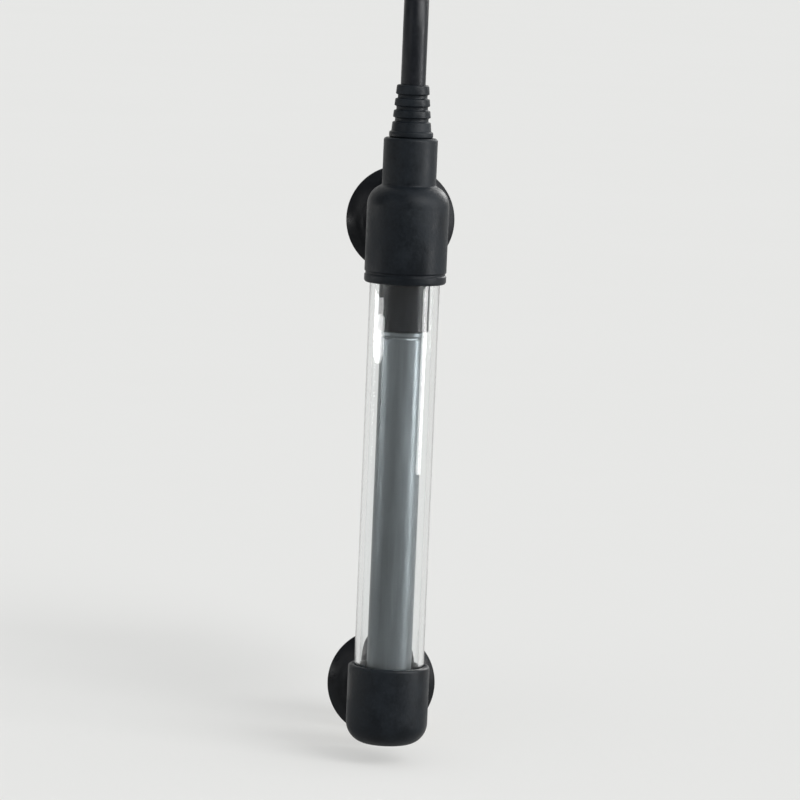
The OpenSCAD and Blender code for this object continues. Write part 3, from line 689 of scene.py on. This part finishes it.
class HEATER_OT_stage(bpy.types.Operator):
    """Camera, pale floor, surroundings and lamps"""
    bl_idname = "heater.stage"
    bl_label = "Stage"

    def execute(self, context):
        stage = context.scene.heater_stage
        aim = Vector((0, TUBE_Y * MM, stage.aim_height))
        self.camera(context, stage, aim)
        self.floor(stage)
        self.surroundings(context, stage)
        self.lamps(aim)
        context.scene.view_settings.view_transform = "Standard"
        return {"FINISHED"}

    def camera(self, context, stage, aim):
        level = math.cos(stage.elevation)
        away = Vector((math.sin(stage.azimuth) * level, -math.cos(stage.azimuth) * level,
                       math.sin(stage.elevation)))
        fresh_start()
        bpy.ops.object.camera_add()
        camera = context.active_object
        camera.name = "camera"
        camera.matrix_world = (Matrix.Translation(aim + away * stage.distance)
                               @ aimed(away).to_matrix().to_4x4()
                               @ Matrix.Rotation(stage.roll, 4, "Z"))
        camera.data.lens = stage.lens
        camera.data.sensor_width = 36
        camera.data.clip_start = 0.01
        camera.data.clip_end = 100
        context.scene.camera = camera

    def floor(self, stage):
        fresh_start()
        bpy.ops.mesh.primitive_grid_add(
            x_subdivisions=8, y_subdivisions=8, size=FLOOR_SIZE,
            location=(0, 0, CAD_BOX[0][2] - FLOOR_GAP))
        floor = bpy.context.active_object
        floor.name = "floor"
        material, tree, skin, out, where = start_material("studio floor")
        tone = tuple(stage.floor_colour)
        mottle = placed_group(tree, "mottle", where, Scale=3, First=scaled(tone, 0.985),
                              Second=tone)
        x, y = x_and_y(tree, where)
        along = plus(tree, times(tree, x, FAR_SIDE[0]), times(tree, y, FAR_SIDE[1]))
        in_front = ranged(tree, along, -0.15, 0.1, 0.8, 0.0)
        shade = times(tree, mirrored_rays(tree), in_front)
        fill(tree, skin, Base_Color=blended(tree, shade, mottle["Color"], (0, 0, 0)),
             Roughness=0.85, Specular_IOR_Level=0.0)
        pale = added(tree, "Emission", Color=tone)
        glow = times(tree, times(tree, seen_rays(tree), all_but(tree, shade)), FLOOR_GLOW)
        mixed(tree, glow, skin, pale, out)
        floor.data.materials.append(material)

    def surroundings(self, context, stage):
        world = bpy.data.worlds.new("studio")
        context.scene.world = world
        world.use_nodes = True
        tree = world.node_tree
        tree.nodes.clear()
        out = added(tree, "OutputWorld")
        bright = ranged(tree, facing(tree, LIT_SIDE), -0.75, 0.95, 0.27, 0.85)
        dim = ranged(tree, facing(tree, CAMERA_SIDE), -0.1, 0.75, 0.0, 0.82)
        kept = all_but(tree, times(tree, dim, mirrored_rays(tree)))
        soft = added(tree, "Background", Color=(0.97, 0.985, 1.0),
                     Strength=times(tree, bright, kept))
        pale = added(tree, "Background", Color=tuple(stage.floor_colour), Strength=1.0)
        in_front = ranged(tree, facing(tree, FAR_SIDE), -0.1, 0.45, 1.0, 0.0)
        behind = all_but(tree, times(tree, in_front, mirrored_rays(tree)))
        mixed(tree, times(tree, seen_rays(tree), behind), soft, pale, out)

    def lamps(self, aim):
        for name, place, wide, high, watts in LAMPS:
            fresh_start()
            bpy.ops.object.light_add(type="AREA", location=place)
            lamp = bpy.context.active_object
            lamp.name = name
            lamp.data.shape = "RECTANGLE"
            lamp.data.size, lamp.data.size_y = wide, high
            lamp.data.energy = watts
            lamp.visible_diffuse = False
            lamp.rotation_euler = aimed(Vector(place) - aim).to_euler()
        fresh_start()
        bpy.ops.object.light_add(type="SUN", location=(0, 0, 1))
        sun = bpy.context.active_object
        sun.name = "ceiling"
        sun.data.energy = SUN_STRENGTH
        sun.data.angle = math.radians(SUN_WIDTH)
        sun.rotation_euler = aimed(SUN_SIDE).to_euler()


def facing(tree, direction):
    """How far a ray of the surroundings points in a direction, from -1 to 1."""
    node = added(tree, "VectorMath")
    node.operation = "DOT_PRODUCT"
    tree.links.new(added(tree, "TexCoord").outputs["Generated"], node.inputs[0])
    node.inputs[1].default_value = Vector(direction).normalized()
    return node.outputs["Value"]


def mirrored_rays(tree):
    """1 for rays that a shiny surface has thrown back."""
    path = added(tree, "LightPath")
    return maths(tree, "GREATER_THAN", path.outputs["Glossy Depth"], 0.5)


def seen_rays(tree):
    """1 for rays that show a surface: to the camera, in a reflection or through clear glass."""
    path = added(tree, "LightPath")
    both = maths(tree, "MAXIMUM", path.outputs["Is Camera Ray"],
                 path.outputs["Is Transmission Ray"])
    all_three = maths(tree, "MAXIMUM", both, path.outputs["Is Glossy Ray"])
    return times(tree, all_three, maths(tree, "LESS_THAN", path.outputs["Diffuse Depth"], 0.5))


# ---- lead

def lead_frame():
    """From the lead's own (sideways, away, up) in millimetres to the frame."""
    return (Matrix.Translation(in_frame(0, TUBE_Y, GLAND_TOP_Z))
            @ Matrix.Rotation(math.radians(-LEAD_TURN), 4, "Z") @ Matrix.Scale(MM, 4))


def coil_point(count):
    """A point of the coil after so many turns."""
    middle = COIL_TURNS / 2
    radius = COIL_OUT_R - COIL_STEP * (middle - abs(count - middle))
    across = COIL_STEP / 2 * max(-1, min(1, (count - middle) / CROSSING))
    angle = 2 * math.pi * count
    away = COIL_FRONT + COIL_OUT_R - radius * math.cos(angle)
    return (across, away, COIL_Z - radius * math.sin(angle))


def lead_route():
    coil = [coil_point(i / COIL_RINGS) for i in range(COIL_TURNS * COIL_RINGS + 1)]
    first = (coil[0][0], coil[0][1], coil[0][2] + COIL_LEAD)
    last = (coil[-1][0], coil[-1][1], coil[-1][2] - COIL_LEAD)
    place = lead_frame()
    return [place @ Vector(p) for p in [*RISE, first, *coil, last, *TAIL]]


class HEATER_OT_lead(bpy.types.Operator):
    """Lead over the rim, its coil, the tie and the plug"""
    bl_idname = "heater.lead"
    bl_label = "Lead and plug"

    def execute(self, context):
        sizes = context.scene.heater_sizes
        route = lead_route()
        lead = line("lead", route, sizes.cord_diameter / 2, 5)
        dressed(lead, "lead_jacket", "heater", "cord_rise", "cord_coil", "cord_tail")
        tie = self.tie()
        dressed(tie, "lead_jacket", "heater", "coil_tie")
        plug = self.plug()
        dressed(plug, "lead_jacket", "heater", "plug_body")
        return {"FINISHED"}

    def tie(self):
        """A flat strap round the front of the coil, where its turns lie in two layers."""
        room, wide, thick, round_r = 0.5, 8, 0.8, 2.4
        reach = CORD_R + room + thick / 2
        half = COIL_STEP / 2 + reach
        low, high = COIL_FRONT - reach, COIL_FRONT + 3 * COIL_STEP + reach
        tie = started("tie", bpy.ops.mesh.primitive_plane_add, size=2)
        bpy.ops.transform.resize(value=(half, (high - low) / 2, 1))
        bpy.ops.transform.translate(value=(0, (high + low) / 2, COIL_Z - wide / 2))
        bpy.ops.mesh.bevel(offset=round_r, segments=8, affect="VERTICES")
        bpy.ops.mesh.delete(type="ONLY_FACE")
        select_everything()
        bpy.ops.mesh.extrude_region_move(TRANSFORM_OT_translate={"value": (0, 0, wide)})
        select_everything()
        bpy.ops.mesh.normals_make_consistent(inside=False)
        modified(tie, "SOLIDIFY", thickness=thick, offset=0.0)
        bevelled(tie, 0.18, 3, 50)
        tie.data.transform(lead_frame())
        smooth(tie, 40)
        return tie

    def plug(self):
        """Moulded body with rounded corners, a shoulder, finger grooves and a ribbed neck."""
        plug = started("plug", bpy.ops.mesh.primitive_cube_add, size=2)
        bpy.ops.transform.resize(value=PLUG_HALF)
        bpy.ops.transform.translate(value=PLUG_MIDDLE)
        pick(plug, "EDGE", lambda e: abs(e.verts[0].co.z - e.verts[1].co.z) > 1)
        bpy.ops.mesh.bevel(offset=3, segments=8, affect="EDGES")
        pick(plug, "FACE", lambda f: f.normal.z > 0.9)
        bpy.ops.mesh.extrude_region_move(
            TRANSFORM_OT_translate={"value": (0, 0, PLUG_SHOULDER_H)})
        bpy.ops.transform.resize(
            value=(PLUG_SHOULDER_HALF[0] / PLUG_HALF[0], PLUG_SHOULDER_HALF[1] / PLUG_HALF[1], 1),
            center_override=(0, COIL_FRONT, PLUG_MIDDLE[2] + PLUG_HALF[2] + PLUG_SHOULDER_H))
        bevelled(plug, 0.9, 4, 25)
        for level in (-109.4, -111.8, -114.2, -116.6):
            for side in (-1, 1):
                combined(plug, self.finger_groove(side, level), "DIFFERENCE")
        combined(plug, self.plug_neck(), "UNION")
        plug.data.transform(lead_frame())
        smooth(plug, 32)
        return plug

    def finger_groove(self, side, level):
        """A long rounded bar that leaves one shallow groove in a broad face."""
        bar = started("finger_groove", bpy.ops.mesh.primitive_uv_sphere_add, segments=24,
                      ring_count=12, radius=1.0)
        bpy.ops.transform.resize(value=(0.55, 5.6, 0.62))
        bpy.ops.transform.translate(value=(side * (PLUG_HALF[0] + 0.1), COIL_FRONT, level))
        fresh_start()
        return bar

    def plug_neck(self):
        """Tapered neck round the lead's end, with four ring grooves."""
        foot_r, foot_z, groove_z, groove_step, groove_h = 4.4, -104.5, -101.9, 3.0, 1.4
        narrowing, top_r, top_z = 0.29, 3.0, -90.0
        corners = [(0, foot_z), (foot_r, foot_z), (foot_r, -102.6)]
        for i in range(4):
            low = groove_z + i * groove_step
            skin = 4.35 - narrowing * (i + 1)
            corners += ring_groove(skin + 0.12, skin + 0.02, skin - 0.5, low, low + groove_h,
                                   0.35, 0.2, 0.2)
        corners += [(top_r, top_z, 0.3), (0, top_z)]
        neck = turned("plug_neck", eased(corners, 3), 48, centre=(0, 0, 0))
        fresh_start()
        neck.data.transform(Matrix.Translation((0, COIL_FRONT, 0)) @ Matrix.Scale(1 / MM, 4))
        return neck


# ---- glass and rubber

class HEATER_OT_glass(bpy.types.Operator):
    """Glass tube with a round lower end and a fire-polished mouth"""
    bl_idname = "heater.glass"
    bl_label = "Glass tube"

    def execute(self, context):
        half_wall = (TUBE_R - BORE_R) / 2
        rings = (-70, -45, -20)
        outline = (arc(0, TUBE_ROUND_Z, TUBE_R, -90, 0, 24)
                   + [(TUBE_R, z) for z in rings]
                   + arc(BORE_R + half_wall, MOUTH_Z - half_wall, half_wall, 0, 180, 10)
                   + [(BORE_R, z) for z in reversed(rings)]
                   + arc(0, TUBE_ROUND_Z, BORE_R, 0, -90, 24))
        tube = turned("glass", outline, 144)
        smooth(tube, 60)
        dressed(tube, "clear_glass", "heater", "glass_tube")
        return {"FINISHED"}


def head_skin(z):
    """Radius of the head's outside at a height."""
    if z <= SHOULDER_Z:
        return RUBBER_R
    rise = min(z, NECK_FOOT_Z) - SHOULDER_Z
    return RUBBER_R - SHOULDER_R + math.sqrt(SHOULDER_R ** 2 - rise ** 2)


def cap_skin(z):
    """Radius of the bottom cap's outside at a height."""
    low = CAP_Z + CAP_EDGE - z
    high = z - (CAP_TOP_Z - CAP_LIP)
    if low > 0:
        return RUBBER_R - CAP_EDGE + math.sqrt(CAP_EDGE ** 2 - low ** 2)
    if high > 0:
        return RUBBER_R - CAP_LIP + math.sqrt(max(0.0, CAP_LIP ** 2 - high ** 2))
    return RUBBER_R


class HEATER_OT_rubber_ends(bpy.types.Operator):
    """Head and bottom cap with the socket bosses of the suction cups"""
    bl_idname = "heater.rubber_ends"
    bl_label = "Rubber ends"

    def execute(self, context):
        sizes = context.scene.heater_sizes
        edge, sides = sizes.lip_edge / MM, sizes.sides
        # Inside the head: the tube's seat, the gland's room over it, and the neck's bore
        seat_z, room_r, room_z, room_top_z, neck_bore_r = -5, 4.4, 2.45, 9.6, 3.45
        groove = ring_groove(RUBBER_R, RUBBER_R, RUBBER_R - sizes.groove / MM, HEAD_Z + 1.6,
                             HEAD_Z + 2.35, 0.2, 0.15, 0.12)
        shoulder = arc(RUBBER_R - SHOULDER_R, SHOULDER_Z, SHOULDER_R, 0, 70, 12)[1:-1]
        head = turned("head", eased([
            (RUBBER_BORE_R, seat_z), (RUBBER_BORE_R, HEAD_Z, 0.3), (RUBBER_R, HEAD_Z, edge),
            *groove, (RUBBER_R, SHOULDER_Z), *shoulder, (NECK_R, NECK_FOOT_Z, 0.5),
            (NECK_R, NECK_TOP_Z, edge), (neck_bore_r, NECK_TOP_Z, 0.3),
            (neck_bore_r, room_top_z), (room_r, room_top_z, 0.3), (room_r, room_z),
            (RUBBER_BORE_R, room_z), (RUBBER_BORE_R, seat_z)]), sides)
        cap = turned("bottom_boot", eased([
            (0, CAP_Z), *arc(RUBBER_R - CAP_EDGE, CAP_Z + CAP_EDGE, CAP_EDGE, -90, 0, 16),
            (RUBBER_R, CAP_TOP_Z, edge), (RUBBER_BORE_R, CAP_TOP_Z, 0.3),
            (RUBBER_BORE_R, TUBE_ROUND_Z),
            *arc(0, TUBE_ROUND_Z, RUBBER_BORE_R, 0, -90, 20)[1:]]), sides)
        for piece, node, level, skin in ((head, "head_cap", UPPER_CUP_Z, head_skin),
                                         (cap, "bottom_cap", LOWER_CUP_Z, cap_skin)):
            combined(piece, self.boss(level, skin, sizes.boss_ease / MM), "UNION")
            combined(piece, self.socket(level), "DIFFERENCE")
            smooth(piece, 38)
            dressed(piece, "black_rubber", "heater", node)
        return {"FINISHED"}

    def boss(self, level, skin, ease):
        """Round boss whose foot runs out in a fillet on the round rubber."""
        sides, steps = 72, 8
        # Heights from the wall: the boss's face, its straight part's end and its middle's end
        face_h, foot_h, core_h = 6.0, 7.4, 9.3
        # How far the fillet's end and the skirt after it lie inside the rubber
        sunk, skirt = 0.04, 0.4
        boss = turned("boss", eased([(0, face_h), (BOSS_R, face_h, 0.6), (BOSS_R, foot_h)]),
                      sides, (0, 0, level), (0, -1, 0))
        bpy.ops.mesh.select_mode(type="VERT")
        bpy.ops.mesh.select_all(action="DESELECT")
        bpy.ops.mesh.select_non_manifold()

        def round_angle(point):
            angle = math.atan2(point.co.z / MM - level, point.co.x / MM)
            return (angle + 0.001) % (2 * math.pi)

        for step in range(steps + 1):
            bpy.ops.mesh.extrude_region_move()
            mesh = bmesh.from_edit_mesh(boss.data)
            ring = sorted((v for v in mesh.verts if v.select), key=round_angle)
            for k, point in enumerate(ring):
                angle = 2 * math.pi * k / sides
                across, up = math.cos(angle), math.sin(angle)
                ball = Vector((across * (BOSS_R + ease), 0, level + up * (BOSS_R + ease)))
                reach = skin(ball.z) - sunk + ease
                ball.y = TUBE_Y + math.sqrt(reach ** 2 - ball.x ** 2)
                on_boss = Vector((-across, 0, -up))
                on_rubber = (Vector((0, TUBE_Y, ball.z)) - ball).normalized()
                if step < steps:
                    along = on_boss.slerp(on_rubber, step / (steps - 1))
                    point.co = (ball + along * ease) * MM
                else:
                    point.co = (ball + on_rubber * (ease + skirt)) * MM
            bmesh.update_edit_mesh(boss.data)
        bpy.ops.mesh.extrude_region_move()
        bpy.ops.mesh.merge(type="CENTER")
        mesh = bmesh.from_edit_mesh(boss.data)
        for point in mesh.verts:
            if point.select:
                point.co = in_frame(0, -core_h, level)
        bmesh.update_edit_mesh(boss.data)
        close_seams()
        return boss

    def socket(self, level):
        """The hollow that a suction cup's knob turns in, with an eased mouth."""
        pocket_r, pocket_h, pocket_end_h, throat_r, mouth_r, mouth_h = 3.3, 7.2, 9.0, 2.05, 2.5, 5.4
        outline = [(0, pocket_end_h), *eased([
            (pocket_r, pocket_end_h), (pocket_r, pocket_h), (throat_r, pocket_h),
            (throat_r, 6.3, 0.2), (mouth_r, mouth_h), (0, mouth_h)])]
        return turned("socket", outline, 48, (0, 0, level), (0, -1, 0))


class HEATER_OT_suction_cups(bpy.types.Operator):
    """Two suction cups, each one piece with its neck and knob"""
    bl_idname = "heater.suction_cups"
    bl_label = "Suction cups"

    def execute(self, context):
        # Heights from the wall; hollow and dome are parts of balls
        hollow_r, hollow_h, dome_r, dome_h = 17.0, 3.4, 15.692, 5.1
        rim_r, rim_h, neck_r, knob_r, knob_h, knob_end_h = 11.0, 0.6, 2.0, 3.2, 7.3, 8.9
        hollow = arc(0, hollow_h - hollow_r, hollow_r, 90, 53.13, 16)
        dome = arc(0, dome_h - dome_r, dome_r, 45.5, 73.2, 14)
        outline = eased([
            *hollow, (10.25, 0), (rim_r, 0, 0.1), (rim_r, rim_h, 0.12), *self.lip_rings(dome),
            (4.35, 4.45, 0.5), (2.6, 5.9, 0.15), (neck_r, 5.9), (neck_r, knob_h),
            (knob_r, knob_h, 0.4), (knob_r, knob_end_h, 0.4), (0, knob_end_h)])
        for name, level, body in (("upper_suction_cup", UPPER_CUP_Z, "upper_cup"),
                                  ("lower_suction_cup", LOWER_CUP_Z, "lower_cup")):
            cup = turned(name, outline, context.scene.heater_sizes.sides, (0, 0, level),
                         (0, -1, 0))
            smooth(cup, 40)
            dressed(cup, "cup_rubber", body, body)
        return {"FINISHED"}

    def lip_rings(self, dome):
        """The dome's outline with two fine ring grooves near the lip."""
        points = []
        for r, h in dome:
            for middle in (9.5, 8.5):
                if abs(r - middle) < 0.12:
                    r, h = r - 0.09, h - 0.13
            points.append((r, h))
        return points


class HEATER_OT_gland(bpy.types.Operator):
    """Tapered gland with soft ring grooves where the lead leaves the head"""
    bl_idname = "heater.gland"
    bl_label = "Cord gland"

    def execute(self, context):
        # A flange in the head's room, a waist in the neck's bore, a collar on it and a taper
        bore_r, flange_r, waist_r, collar_r, taper_r, tip_r = 2.525, 4.35, 3.4, 4.4, 4.0, 3.2
        foot_z, flange_z, collar_z, taper_z, seam_z = 8.05, 9.55, 17.55, 18.75, 15
        grooves, top = 3, GLAND_TOP_Z
        corners = [(bore_r, seam_z), (bore_r, foot_z, 0.2), (flange_r, foot_z, 0.3),
                   (flange_r, flange_z, 0.3), (waist_r, flange_z), (waist_r, collar_z),
                   (collar_r, collar_z, 0.3), (collar_r, taper_z, 0.3), (taper_r, taper_z, 0.15)]
        for i in range(1, grooves + 1):
            share = i / (grooves + 1)
            middle = taper_z + share * (top - taper_z)
            skin = tip_r + (taper_r - tip_r) * (1 - share)
            corners += ring_groove(skin + 0.03, skin - 0.03, skin - 0.45, middle - 0.5,
                                   middle + 0.5, 0.18, 0.15, 0.2)
        corners += [(tip_r, top, 0.35), (bore_r, top, 0.2), (bore_r, seam_z)]
        gland = turned("gland", eased(corners, 4), context.scene.heater_sizes.sides)
        smooth(gland, 40)
        dressed(gland, "black_rubber", "heater", "cord_gland")
        return {"FINISHED"}


# ---- works

class HEATER_OT_element(bpy.types.Operator):
    """Element sleeve with its rolled grooves, and the winding inside"""
    bl_idname = "heater.element"
    bl_label = "Heating element"

    def execute(self, context):
        self.sleeve(context.scene.heater_sizes.sides)
        self.winding()
        return {"FINISHED"}

    def sleeve(self, sides):
        low_corner, high_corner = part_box("element_sleeve")
        outer, low, high = high_corner.x / MM, low_corner.z / MM, high_corner.z / MM
        wall, depth, half_groove, seam_z = 0.6, 0.18, 0.3, -50
        inner = outer - wall
        corners = [(inner, seam_z), (inner, low, 0.1), (outer, low, 0.25)]
        for middle in (low + 1.6, high - 1.2):
            corners += [(outer, middle - half_groove, 0.2), (outer - depth, middle, 0.2),
                        (outer, middle + half_groove, 0.2)]
        corners += [(outer, high, 0.25), (inner, high, 0.1), (inner, seam_z)]
        sleeve = turned("sleeve", eased(corners), sides)
        smooth(sleeve, 35)
        dressed(sleeve, "sleeve_metal", "heater", "element_sleeve")

    def winding(self):
        radius, wire_r, turns, top, foot, end, knots = 2.63, 0.4, 22, -35.75, -89.2, 0.8, 24
        helix = []
        for i in range(turns * knots + 1):
            angle = 2 * math.pi * i / knots
            helix.append(in_frame(radius * math.cos(angle), TUBE_Y + radius * math.sin(angle),
                                  top + (foot - top) * i / (turns * knots)))
        straight = in_frame(0, 0, end)
        route = [helix[0] + straight, *helix, helix[-1] - straight]
        winding = made_mesh(line("winding", route, wire_r * MM, 2))
        dressed(winding, "resistance_wire", "heater", "heating_coil")


def moved_over(start, stop, top, drop, steps):
    """Points (sideways, up) of a wire that bends over to run straight down further on."""
    return [(start + (stop - start) * (1 - math.cos(math.pi * i / steps)) / 2,
             top - drop * i / steps) for i in range(steps + 1)]


class HEATER_OT_conductors(bpy.types.Operator):
    """Insulated conductors in the head, and the bare return wire"""
    bl_idname = "heater.conductors"
    bl_label = "Conductors"

    def execute(self, context):
        # The two cores leave the lead near its middle and run down at the stopper's holes
        exit_x, run_x, exit_z, bend_z, run_z = 1.25, 2.7, 8.05, 7.65, -3
        for name, side, foot, slot, node in (
                ("live_conductor", 1, -8.25, "brown_insulation", "live_wire"),
                ("neutral_conductor", -1, -15.75, "blue_insulation", "neutral_wire")):
            route = [(side * exit_x, exit_z),
                     *moved_over(side * exit_x, side * run_x, bend_z, 5, 6),
                     (side * run_x, run_z), (side * run_x, foot)]
            dressed(wire(name, route, 0.75, 4), slot, "heater", node)
        # The return wire leaves the crimp and moves over into the former's bore
        route = [(-run_x, -18.75), (-run_x, -21.5), *moved_over(-run_x, 0, -24.55, 6.9, 8),
                 (0, -60), (0, -91.4)]
        dressed(wire("return_lead", route, 0.35, 3), "tinned_copper", "heater", "return_wire")
        return {"FINISHED"}


class HEATER_OT_inner_finishes(bpy.types.Operator):
    """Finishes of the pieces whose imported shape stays"""
    bl_idname = "heater.inner_finishes"
    bl_label = "Inner finishes"

    def execute(self, context):
        slots = {
            "lead_jacket": ("cord_entry",),
            "grey_silicone": ("mouth_stopper",),
            "black_bakelite": ("thermostat_base", "thermostat_lid"),
            "brass": ("blade_post", "blade_rivet", "fixed_arm", "setting_screw"),
            "bimetal": ("bimetal_blade",),
            "silver": ("moving_contact", "fixed_contact"),
            "magnet": ("snap_magnet",),
            "tinned_copper": ("neutral_crimp", "upper_band", "lower_band"),
            "fuse_body": ("thermal_fuse",),
            "ceramic": ("ceramic_former", "element_foot"),
            "clear_silicone": ("end_cushion",),
            "plug_blade": ("plug_blades",),
        }
        for slot, names in slots.items():
            for name in names:
                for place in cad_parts[name].material_slots:
                    place.material = finish_of(slot)
        return {"FINISHED"}


# ---- sidebar and running

SETTINGS = {
    "heater_colours": HeaterColours, "heater_sizes": HeaterSizes, "heater_stage": HeaterStage,
}
STEPS = (
    HEATER_OT_stage, HEATER_OT_lead, HEATER_OT_glass, HEATER_OT_rubber_ends,
    HEATER_OT_suction_cups, HEATER_OT_gland, HEATER_OT_element, HEATER_OT_conductors,
    HEATER_OT_inner_finishes,
)


class HEATER_PT_panel(bpy.types.Panel):
    """Lists the heater's pieces and settings"""
    bl_idname = "HEATER_PT_panel"
    bl_label = "Aquarium heater"
    bl_space_type = "VIEW_3D"
    bl_region_type = "UI"
    bl_category = "Heater"

    def draw(self, context):
        layout = self.layout
        for name in SETTINGS:
            group, box = getattr(context.scene, name), layout.box()
            for label in group.bl_rna.properties.keys():
                if label not in {"rna_type", "name"}:
                    box.prop(group, label)
        for step in STEPS:
            layout.operator(step.bl_idname)


CLASSES = (*SETTINGS.values(), *STEPS, HEATER_PT_panel)


def register():
    for item in CLASSES:
        bpy.utils.register_class(item)
    for name, group in SETTINGS.items():
        setattr(bpy.types.Scene, name, bpy.props.PointerProperty(type=group))


def unregister():
    for name in SETTINGS:
        delattr(bpy.types.Scene, name)
    for item in reversed(CLASSES):
        bpy.utils.unregister_class(item)


def main():
    """Runs every step in order."""
    register()
    for step in STEPS:
        area, name = step.bl_idname.split(".")
        if getattr(getattr(bpy.ops, area), name)() != {"FINISHED"}:
            raise RuntimeError(f"{step.bl_idname} did not finish")
    fresh_start()


if __name__ == "__main__":
    main()
